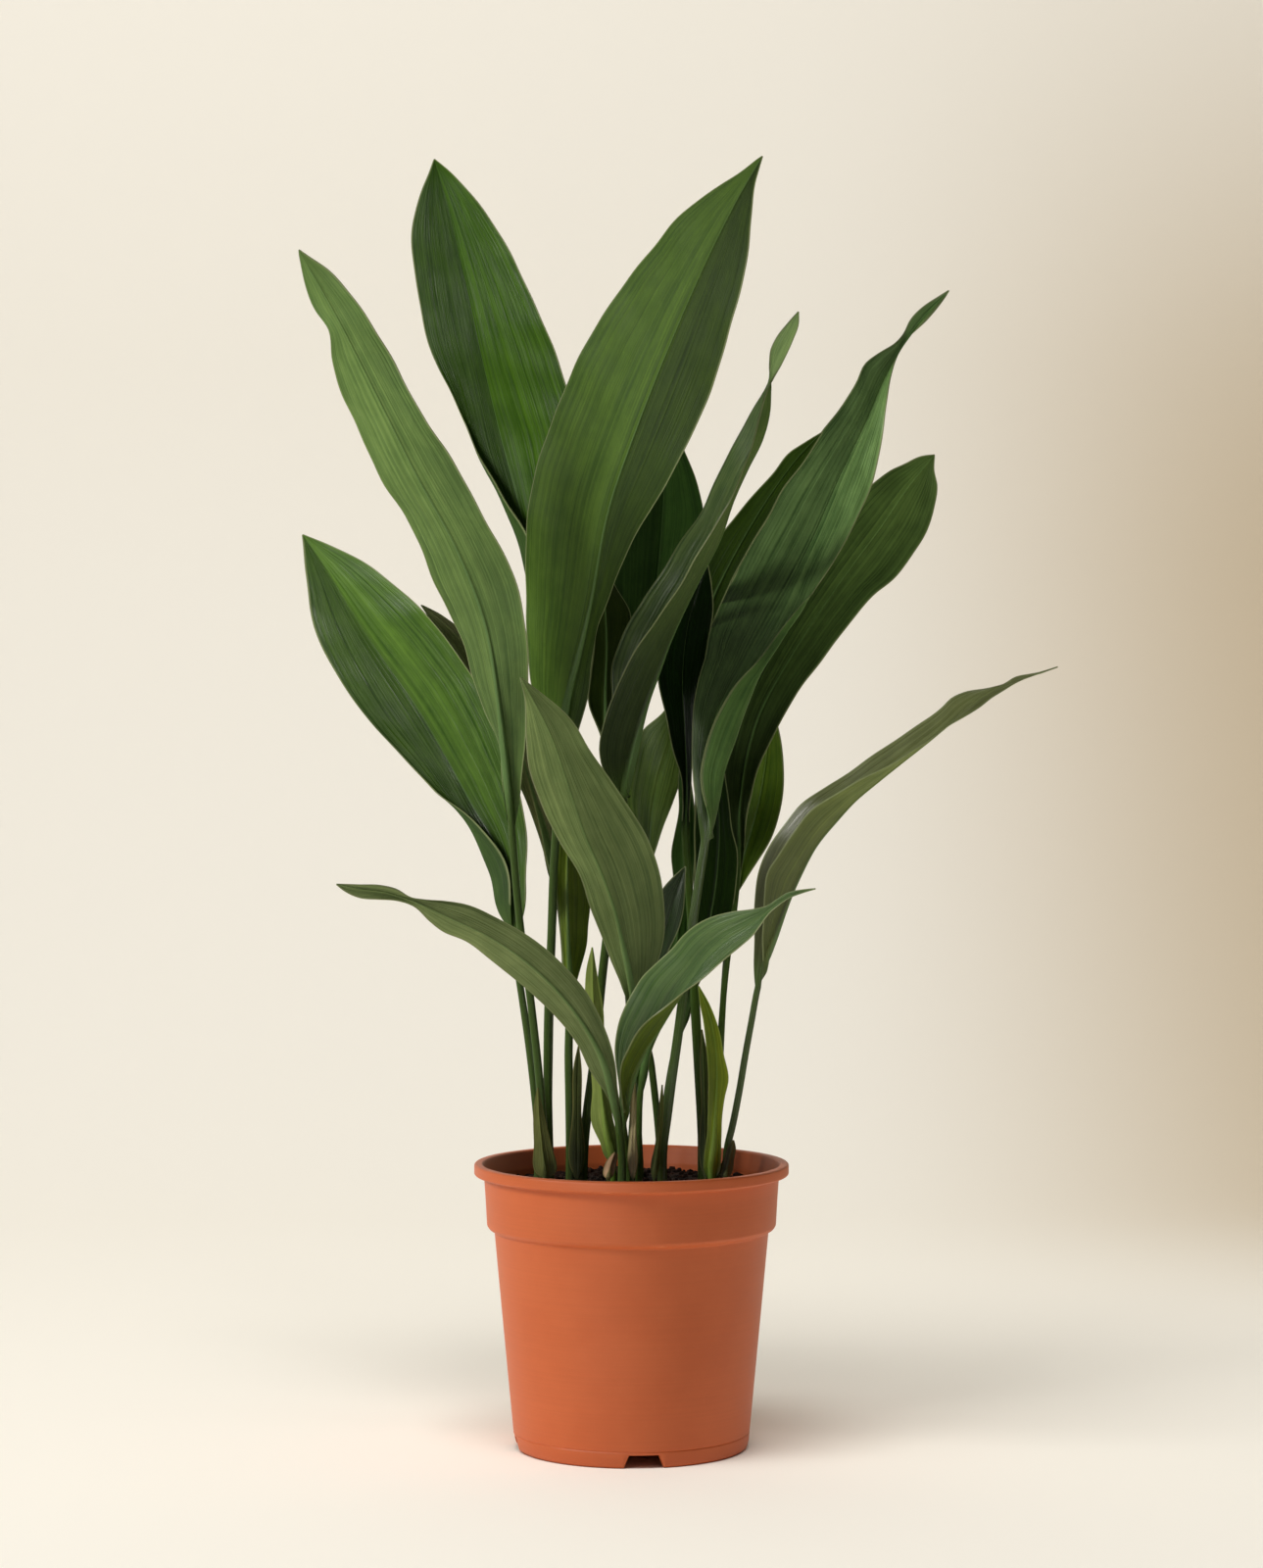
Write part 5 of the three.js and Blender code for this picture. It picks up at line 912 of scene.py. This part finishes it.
def leaf_tissue():
    """Streaks that run with the veins, midrib, pale margin, stalk and the two faces of a leaf, with painted
    shading.
    """
    grey = (0.5, 0.5, 0.5, 1)
    tree, given, out = group_shell("leaf_tissue", [
        ("Upper Dark", COLOUR, grey), ("Upper Light", COLOUR, grey),
        ("Under Dark", COLOUR, grey), ("Under Light", COLOUR, grey),
        ("Rib", COLOUR, grey), ("Margin", COLOUR, grey),
        ("Stalk", COLOUR, grey), ("Stalk Foot", COLOUR, grey),
        ("Upper Roughness", FLOAT, 0.4), ("Under Roughness", FLOAT, 0.6),
        ("Left Half Painted Shading", FLOAT, 1.0), ("Right Half Painted Shading", FLOAT, 1.0), ("Base", FLOAT, 1.0), ("Tip", FLOAT, 1.0),
    ], [("Colour", COLOUR), ("Roughness", FLOAT), ("Height", FLOAT)])
    grain = wire(tree, "ShaderNodeAttribute", attribute_name="grain").outputs["Vector"]
    zone = wire(tree, "ShaderNodeAttribute", attribute_name="zone").outputs["Vector"]
    margin = wire(tree, "ShaderNodeAttribute", attribute_name="margin").outputs["Fac"]
    zones = wire(tree, "ShaderNodeSeparateXYZ", {0: zone}).outputs

    def stretched(across, along):
        return times(tree, grain, (across, along, 1.0))

    grains, pattern = {}, 0.0
    for label, (across, along, detail, rough, low, high) in GRAINS.items():
        noisy = speckle(tree, stretched(across, along), 1.0, detail, rough)
        grains[label] = ramp(tree, noisy, low, high)
        pattern = scaled(tree, grains[label], GRAIN_SHARES[label], pattern)
    fine, streak = grains["fine"], grains["streak"]
    level = maths(tree, "SUBTRACT", speckle(tree, stretched(*VEIN_SCALE), 1.0, 1.0), 0.5)
    vein = ramp(tree, maths(tree, "ABSOLUTE", level), *VEIN_MASK)
    upper = blend(tree, pattern, given["Upper Dark"], given["Upper Light"])
    under = blend(tree, pattern, given["Under Dark"], given["Under Light"])
    colour = blend(tree, zones[2], upper, under)
    colour = blend(tree, maths(tree, "MULTIPLY", vein, VEIN_DEPTH), colour, VEIN_TINT, "MULTIPLY")
    across = wire(tree, "ShaderNodeSeparateXYZ", {0: grain}).outputs[0]
    # Painted shading and light: each half, and the blade from base to tip, made darker or lighter
    painted_half_shading = mixed(tree, ramp(tree, across, -HALF_BLUR, HALF_BLUR), given["Left Half Painted Shading"], given["Right Half Painted Shading"])
    length = mixed(tree, ramp(tree, zones[1], 0.1, 0.9), given["Base"], given["Tip"])
    colour = wire(tree, "ShaderNodeVectorMath", {0: colour, 3: maths(tree, "MULTIPLY", painted_half_shading, length)},
                  operation="SCALE").outputs[0]
    # Midrib: a broad pale keel below, a thin line above
    keel = ramp(tree, zones[0], *KEEL_MASK)
    line = ramp(tree, zones[0], *LINE_MASK)
    rib = blend(tree, zones[2], line, keel)
    rib = maths(tree, "MULTIPLY", rib, ramp(tree, zones[1], *RIB_FADE))
    colour = blend(tree, rib, colour, given["Rib"])
    colour = blend(tree, ramp(tree, margin, *MARGIN_MASK), colour, given["Margin"])
    stalk = blend(tree, ramp(tree, zones[1], *STALK_FOOT_MASK), given["Stalk"], given["Stalk Foot"])
    stalk = blend(tree, maths(tree, "MULTIPLY", streak, 0.35), stalk, given["Rib"])
    colour = blend(tree, ramp(tree, zones[1], *STALK_MASK), colour, stalk)
    rough = mixed(tree, zones[2], given["Upper Roughness"], given["Under Roughness"])
    rough = scaled(tree, streak, 0.12, rough)
    height = scaled(tree, fine, 0.6, streak)
    tree.links.new(colour, out["Colour"])
    tree.links.new(rough, out["Roughness"])
    tree.links.new(height, out["Height"])
    return tree


def leaf_shine(name, front, shine):
    """Gloss of one leaf, seen from its upper or under side."""
    if name in SHADED_LEAVES:
        return SHADED_SHINE
    return SHINES.get(name, shine if front == "upper" else UNDER_SHINE)


def leaf_material(name, front, tissue, kind):
    # The front tones hold the leaf's own colour and its painted shading
    dark, light = TONES_WITH_PAINTED_SHADING[name]
    upper = (dark, light) if front == "upper" else UPPER_TONES
    under = (dark, light) if front == "under" else BACK_TONES.get(name, UNDER_TONES)
    if kind != "leaf":
        upper = under = (dark, light)
    looks = KINDS[kind]
    material, tree, surface = material_shell(name + "_surface")
    out = use_group(tree, tissue, {
        "Upper Dark": linear(upper[0]), "Upper Light": linear(upper[1]),
        "Under Dark": linear(under[0]), "Under Light": linear(under[1]),
        "Rib": linear(looks["rib"]), "Margin": linear(looks["margin"]),
        "Stalk": linear(looks["stalk"]), "Stalk Foot": linear(looks["foot"]),
        "Upper Roughness": looks["upper_rough"], "Under Roughness": looks["under_rough"],
        **dict(zip(("Left Half Painted Shading", "Right Half Painted Shading", "Base", "Tip"), PAINTED_SHADING.get(name, NO_PAINTED_SHADING))),
    })
    finish_surface(tree, surface, out["Colour"], out["Roughness"], out["Height"], looks["bump"],
                   LEAF_BUMP, leaf_shine(name, front, looks["shine"]))
    return material


# Pot

def rounded(outline):
    """Each [r, z, radius] corner becomes a short arc."""
    points = []
    for i, (r, z, radius) in enumerate(outline):
        if not radius:
            points.append((r, z))
            continue
        here = np.array([r, z])
        back = np.array(outline[i - 1][:2]) - here
        ahead = np.array(outline[(i + 1) % len(outline)][:2]) - here
        a, b = (here + v / np.linalg.norm(v) * radius for v in (back, ahead))
        for step in range(CORNER_STEPS + 1):
            u = step / CORNER_STEPS
            points.append(tuple((1 - u) ** 2 * a + 2 * u * (1 - u) * here + u * u * b))
    return points


def taper(z):
    return BODY_FOOT_RADIUS + (BODY_TOP_RADIUS - BODY_FOOT_RADIUS) * z / COLLAR_FOOT_Z


def notch_top(angle):
    """Height of the foot's notch at an angle round the pot, 0 between notches."""
    quarter = math.pi / 2
    turn = (angle - NOTCH_TURN + quarter + quarter / 2) % quarter - quarter / 2
    off = abs(turn) * FOOT_MIDDLE_RADIUS
    slope = (NOTCH_FOOT_WIDTH - NOTCH_HEAD_WIDTH) / 2
    return NOTCH_TOP_Z * min(max((NOTCH_FOOT_WIDTH / 2 - off) / slope, 0.0), 1.0)


def pot_profile():
    """The wall's outline as [r, z] points, outside, inside, pad, raised floor and skirt."""
    outer = [
        (76, 0, 0.4), (77.6, 1.6, 0.8), (taper(5), 5, 0), (taper(10.3), 10.3, 0.25),
        (taper(11) - 0.5, 11, 0.2), (taper(11.7), 11.7, 0.25), (taper(60), 60, 0), (taper(100), 100, 0),
        (taper(COLLAR_FOOT_Z) - 0.4, COLLAR_FOOT_Z - 3, 1.0),
        (COLLAR_FOOT_RADIUS - 1.4, COLLAR_FOOT_Z - 1.2, 0.6),
        (COLLAR_FOOT_RADIUS, COLLAR_FOOT_Z + 0.8, 0.8), (97.4, 165, 0), (COLLAR_TOP_RADIUS, 181.6, 1.0),
        (RIM_RADIUS - 0.7, 182.6, 0.4), (RIM_RADIUS, 183.4, 0.4),
        (RIM_RADIUS, POT_HEIGHT - 0.9, 0.5), (RIM_RADIUS - 0.9, POT_HEIGHT, 0.5),
        (RIM_MOUTH_RADIUS + 0.9, POT_HEIGHT, 0.5), (RIM_MOUTH_RADIUS, POT_HEIGHT - 1, 0.5),
    ]
    inner = [
        (COLLAR_TOP_RADIUS - WALL, 178, 0.8), (COLLAR_FOOT_RADIUS - WALL, COLLAR_FOOT_Z + 2, 0.8),
        (BODY_TOP_RADIUS - WALL, COLLAR_FOOT_Z - 4, 0.8), (taper(FLOOR_TOP_Z) - WALL, FLOOR_TOP_Z, 1.0),
        (PAD_RADIUS, FLOOR_TOP_Z, 0.8), (PAD_RADIUS - 2, WALL, 0.5), (1, WALL, 0),
        (1, 0, 0), (PAD_RADIUS, 0, 0.4), (PAD_RADIUS + 2, RAISED_FLOOR_Z, 0.5),
    ]
    skirt = [(FOOT_INNER_RADIUS, RAISED_FLOOR_Z, 0), (FOOT_INNER_RADIUS + 0.4, 0, 0)]
    outline = rounded(outer + inner + skirt)
    return [p for i, p in enumerate(outline) if i == 0 or math.dist(p, outline[i - 1]) > 0.02]


def pot_angles():
    """Even steps round the pot, with one at each corner of each notch."""
    turn = 2 * math.pi
    even = {round(i * turn / POT_STEPS, 6) for i in range(POT_STEPS)}
    corners = set()
    for k in range(4):
        middle = NOTCH_TURN - math.pi / 2 + k * math.pi / 2
        for half in (NOTCH_FOOT_WIDTH / 2, NOTCH_HEAD_WIDTH / 2):
            for side in (-1, 1):
                corners.add(round((middle + side * half / FOOT_MIDDLE_RADIUS) % turn, 6))
    angles = sorted(even | corners)
    return [a for i, a in enumerate(angles) if i == 0 or a - angles[i - 1] > 0.004]


def pot_mesh():
    outline, angles = pot_profile(), pot_angles()
    skirt_from = len(outline) - 2
    verts, faces = [], []
    for angle in angles:
        lift = notch_top(angle)
        for i, (r, z) in enumerate(outline):
            height = z
            in_skirt = i >= skirt_from
            reach = RAISED_FLOOR_Z if in_skirt else FOOT_BLEND_Z
            if z < reach and (r > FOOT_MIDDLE_RADIUS or in_skirt):
                height = lift + z * (reach - lift) / reach
            verts.append((r * math.cos(angle) * MM, r * math.sin(angle) * MM, height * MM))
    n, m = len(angles), len(outline)
    for i in range(n):
        k = (i + 1) % n
        for j in range(m):
            g = (j + 1) % m
            faces.append((i * m + j, k * m + j, k * m + g, i * m + g))
    return verts, faces


def pot_material():
    material, tree, surface = material_shell("pot_plastic")
    place = wire(tree, "ShaderNodeTexCoord").outputs["Object"]
    parts = wire(tree, "ShaderNodeSeparateXYZ", {0: place}).outputs
    geometry = wire(tree, "ShaderNodeNewGeometry").outputs
    # Fine lines turned round the pot, soft clouding and a little dust
    lines = speckle(tree, times(tree, place, POT_LINE_SCALE), 1.0, 2.0, 0.6)
    cloud = speckle(tree, place, *POT_CLOUD)
    grit = ramp(tree, speckle(tree, place, *POT_GRIT), 0.60, 0.78)
    colour = blend(tree, ramp(tree, cloud, 0.3, 0.7), linear(POT_DARK), linear(POT_LIGHT))
    turned = maths(tree, "MULTIPLY", ramp(tree, lines, 0.35, 0.65), 0.10)
    colour = blend(tree, turned, colour, linear(POT_LINE))
    colour = blend(tree, maths(tree, "MULTIPLY", grit, 0.10), colour, linear(POT_DUST))
    # Sharp edges are paler, and the foot is darker
    paler_edges = ramp(tree, geometry["Pointiness"], *POT_EDGE_MASK)
    colour = blend(tree, paler_edges, colour, linear(POT_EDGE))
    colour = blend(tree, ramp(tree, parts[2], *POT_FOOT_MASK), colour, linear(POT_FOOT))
    rough = scaled(tree, cloud, 0.16, 0.40)
    height = scaled(tree, cloud, 0.4, lines)
    finish_surface(tree, surface, colour, rough, height, 0.25, POT_BUMP, POT_SHINE)
    return material


def make_pot():
    material = pot_material()
    verts, faces = pot_mesh()
    pot = new_piece("pot_fine", verts, faces, material, "pot", ["pot"], sharp=POT_SHARP)
    cutters = []
    for i in range(DRAIN_COUNT):
        angle = (i + 0.5) * 2 * math.pi / DRAIN_COUNT
        x, y = DRAIN_RING_RADIUS * math.cos(angle), DRAIN_RING_RADIUS * math.sin(angle)
        bpy.ops.mesh.primitive_cylinder_add(vertices=40, radius=DRAIN_RADIUS * MM,
                                            depth=DRILL_LENGTH * MM,
                                            location=(x * MM, y * MM, (RAISED_FLOOR_Z + 1) * MM))
        cutter = bpy.context.object
        modifier = pot.modifiers.new("drain", "BOOLEAN")
        modifier.operation = "DIFFERENCE"
        modifier.object = cutter
        modifier.solver = "EXACT"
        cutters.append(cutter)
    whole = bpy.data.meshes.new_from_object(pot.evaluated_get(bpy.context.evaluated_depsgraph_get()))
    pot.modifiers.clear()
    pot.data = whole
    whole.set_sharp_from_angle(angle=math.radians(POT_SHARP))
    for cutter in cutters:
        bpy.data.objects.remove(cutter, do_unlink=True)


# Soil

def soil_material():
    material, tree, surface = material_shell("potting_soil")
    place = wire(tree, "ShaderNodeTexCoord").outputs["Object"]
    crumb = speckle(tree, place, *SOIL_CRUMBLE)
    clump = speckle(tree, place, *SOIL_CLOD)
    fibre = ramp(tree, speckle(tree, place, *SOIL_STRAW), 0.66, 0.74)
    colour = blend(tree, ramp(tree, crumb, 0.35, 0.7), linear(SOIL_DARK), linear(SOIL_LIGHT))
    clumped = maths(tree, "MULTIPLY", ramp(tree, clump, 0.4, 0.7), 0.5)
    colour = blend(tree, clumped, colour, linear(SOIL_CLUMP))
    colour = blend(tree, maths(tree, "MULTIPLY", fibre, 0.55), colour, linear(SOIL_FIBRE))
    rough = ramp(tree, crumb, *SOIL_ROUGHNESS)
    finish_surface(tree, surface, colour, rough, crumb, 0.9, SOIL_BUMP, SOIL_SHINE)
    return material


def soil_height(x, y):
    """Height of the uneven surface, a little crowned."""
    z = SOIL_CENTRE_Z - (SOIL_CENTRE_Z - SOIL_EDGE_Z) * (math.hypot(x, y) / SOIL_EDGE_RADIUS) ** 2
    for height, spacing, layer in SOIL_LUMPS:
        z += height * noise.noise(Vector((x / spacing, y / spacing, layer)))
    return z


def soil_body():
    """The uneven surface in rings from the middle, then the sides down inside the pot."""
    verts, faces = [], []
    turns, rings = SOIL_TURNS, SOIL_RINGS
    foot_z, pad_z = 12.0, 3.2
    outline = [(SOIL_RADIUS + 0.2, SOIL_EDGE_Z - 1.0),
               (COLLAR_FOOT_RADIUS - WALL - 0.6, COLLAR_FOOT_Z + 3.5),
               (BODY_TOP_RADIUS - WALL - 0.6, COLLAR_FOOT_Z - 3.5),
               (taper(foot_z) - WALL - 0.8, foot_z), (PAD_RADIUS - 1, foot_z), (PAD_RADIUS - 3, pad_z)]
    verts.append((0, 0, soil_height(0, 0)))
    for i in range(1, rings + 1):
        r = SOIL_RADIUS * i / rings
        for k in range(turns):
            a = 2 * math.pi * k / turns
            x, y = r * math.cos(a), r * math.sin(a)
            verts.append((x, y, soil_height(x, y)))
    for r, z in outline:
        for k in range(turns):
            a = 2 * math.pi * k / turns
            verts.append((r * math.cos(a), r * math.sin(a), z))
    verts.append((0, 0, pad_z))
    count = rings + len(outline)
    for k in range(turns):
        g = (k + 1) % turns
        faces.append((0, 1 + k, 1 + g))
        for i in range(count - 1):
            a, b = 1 + i * turns, 1 + (i + 1) * turns
            faces.append((a + k, b + k, b + g, a + g))
        last = 1 + (count - 1) * turns
        faces.append((last + k, len(verts) - 1, last + g))
    return verts, faces


def make_soil():
    verts, faces = soil_body()
    crumbs = random.Random(CRUMB_SEED)
    shape = bmesh.new()
    bmesh.ops.create_icosphere(shape, subdivisions=2, radius=1.0)
    ball_verts = [v.co.copy() for v in shape.verts]
    ball_faces = [tuple(v.index for v in f.verts) for f in shape.faces]
    shape.free()
    for i in range(CRUMBS):
        r = CRUMB_REACH * math.sqrt(crumbs.random())
        a = crumbs.uniform(0, 2 * math.pi)
        size = CRUMB_LEAST + CRUMB_SPAN * crumbs.random() ** 2.5
        x, y = (r - size) * math.cos(a), (r - size) * math.sin(a)
        z = soil_height(x, y) + size * crumbs.uniform(*CRUMB_SINK)
        stretch = [crumbs.uniform(*CRUMB_STRETCH) for _ in range(3)]
        shift = Vector((i * 1.3, i * 0.7, 0))
        first = len(verts)
        for co in ball_verts:
            bump = 1 + 0.35 * noise.noise(co * 1.3 + shift) + 0.2 * noise.noise(co * 3.1 + shift)
            verts.append((x + co.x * size * stretch[0] * bump, y + co.y * size * stretch[1] * bump,
                          z + co.z * size * stretch[2] * bump * 0.8))
        faces.extend(tuple(first + v for v in face) for face in ball_faces)
    verts = [(x * MM, y * MM, z * MM) for x, y, z in verts]
    new_piece("soil_fine", verts, faces, soil_material(), "soil", ["soil"], sharp=60)


# Studio

def make_backdrop():
    """A pale paper sweep: floor, wide bend and wall in one sheet."""
    profile = [(PAPER_FRONT_Y, 0.0), (-2.0, 0.0), (0.0, 0.0), (PAPER_FLOOR_Y, 0.0)]
    for i in range(1, PAPER_BEND_STEPS + 1):
        a = i / PAPER_BEND_STEPS * math.pi / 2
        profile.append((PAPER_FLOOR_Y + PAPER_BEND * math.sin(a), PAPER_BEND * (1 - math.cos(a))))
    profile.append((PAPER_FLOOR_Y + PAPER_BEND, PAPER_TOP_Z))
    verts = [(x, y, z) for x in (-PAPER_HALF_WIDTH, PAPER_HALF_WIDTH) for y, z in profile]
    n = len(profile)
    faces = [(i, n + i, n + i + 1, i + 1) for i in range(n - 1)]
    material, tree, surface = material_shell("paper_sweep")
    place = wire(tree, "ShaderNodeTexCoord").outputs["Object"]
    parts = wire(tree, "ShaderNodeSeparateXYZ", {0: place}).outputs
    # Painted shade: the paper is darker to the right, towards the back and low on the wall
    painted_shade = maths(tree, "MULTIPLY", ramp(tree, parts[0], 0.15, 0.85), ramp(tree, parts[1], 0.3, 1.3))
    painted_shade = maths(tree, "MULTIPLY", painted_shade, ramp(tree, parts[2], 0.6, 1.5, 1.0, 0.15))
    colour = blend(tree, painted_shade, linear(PAPER_LIGHT), linear(PAPER_PAINTED_SHADE))
    tree.links.new(colour, surface.inputs["Base Color"])
    surface.inputs["Roughness"].default_value = 0.9
    surface.inputs["Specular IOR Level"].default_value = 0.0
    # From behind or below, the sheet lets the plant be seen
    back = wire(tree, "ShaderNodeNewGeometry").outputs["Backfacing"]
    tree.links.new(maths(tree, "SUBTRACT", 1.0, back), surface.inputs["Alpha"])
    sweep = new_piece("paper_sweep", verts, faces, material, None, sharp=80)
    return sweep


def lamp(name, place, aim, size, power, tint, sweep, link):
    """An area lamp that lights the paper sweep alone, or all but the sweep."""
    data = bpy.data.lights.new(name, "AREA")
    data.shape = "RECTANGLE"
    data.size, data.size_y = size
    data.energy = power
    data.color = tint
    made = bpy.data.objects.new(name, data)
    made.location = place
    made.rotation_euler = (Vector(aim) - Vector(place)).to_track_quat("-Z", "Y").to_euler()
    bpy.context.scene.collection.objects.link(made)
    lit = bpy.data.collections.new(name + "_lit")
    lit.objects.link(sweep)
    lit.collection_objects[0].light_linking.link_state = link
    made.light_linking.receiver_collection = lit
    # The sheen shows only as a reflection on the leaves
    made.visible_diffuse = name != "sheen"


def make_room():
    """The room lights the plant weakly but looks like the paper where the sheet ends."""
    world = bpy.data.worlds.new("room")
    world.use_nodes = True
    tree = world.node_tree
    dim = tree.nodes["Background"]
    dim.inputs["Color"].default_value = ROOM_TINT
    dim.inputs["Strength"].default_value = ROOM_STRENGTH
    pale = wire(tree, "ShaderNodeBackground", {"Color": linear(ROOM_COLOUR)})
    seen = wire(tree, "ShaderNodeLightPath").outputs["Is Camera Ray"]
    both = wire(tree, "ShaderNodeMixShader", {0: seen, 1: dim.outputs[0], 2: pale.outputs[0]})
    tree.links.new(both.outputs[0], tree.nodes["World Output"].inputs["Surface"])
    bpy.context.scene.world = world
    bpy.context.scene.view_settings.view_transform = "Standard"


def make_camera():
    camera = bpy.data.cameras.new("camera")
    camera.lens = EYE_LENS
    camera.clip_end = 50
    eye = bpy.data.objects.new("camera", camera)
    eye.location = (0, -EYE_DISTANCE * MM, EYE_Z * MM)
    eye.rotation_euler = (math.radians(90 - EYE_TILT), 0, 0)
    bpy.context.scene.collection.objects.link(eye)
    bpy.context.scene.camera = eye


backdrop = make_backdrop()
for *lamp_settings, lamp_link in LAMPS:
    lamp(*lamp_settings, backdrop, lamp_link)
make_room()
make_camera()
make_pot()
make_soil()
tissue = leaf_tissue()
for number, (leaf_name, leaf_data) in enumerate(LEAVES.items()):
    its_kind = KIND_OF_PREFIX[leaf_name.split("_")[0]]
    its_material = leaf_material(leaf_name, leaf_data["front"], tissue, its_kind)
    leaf_piece(leaf_name, leaf_data, number + 1, its_material, its_kind)
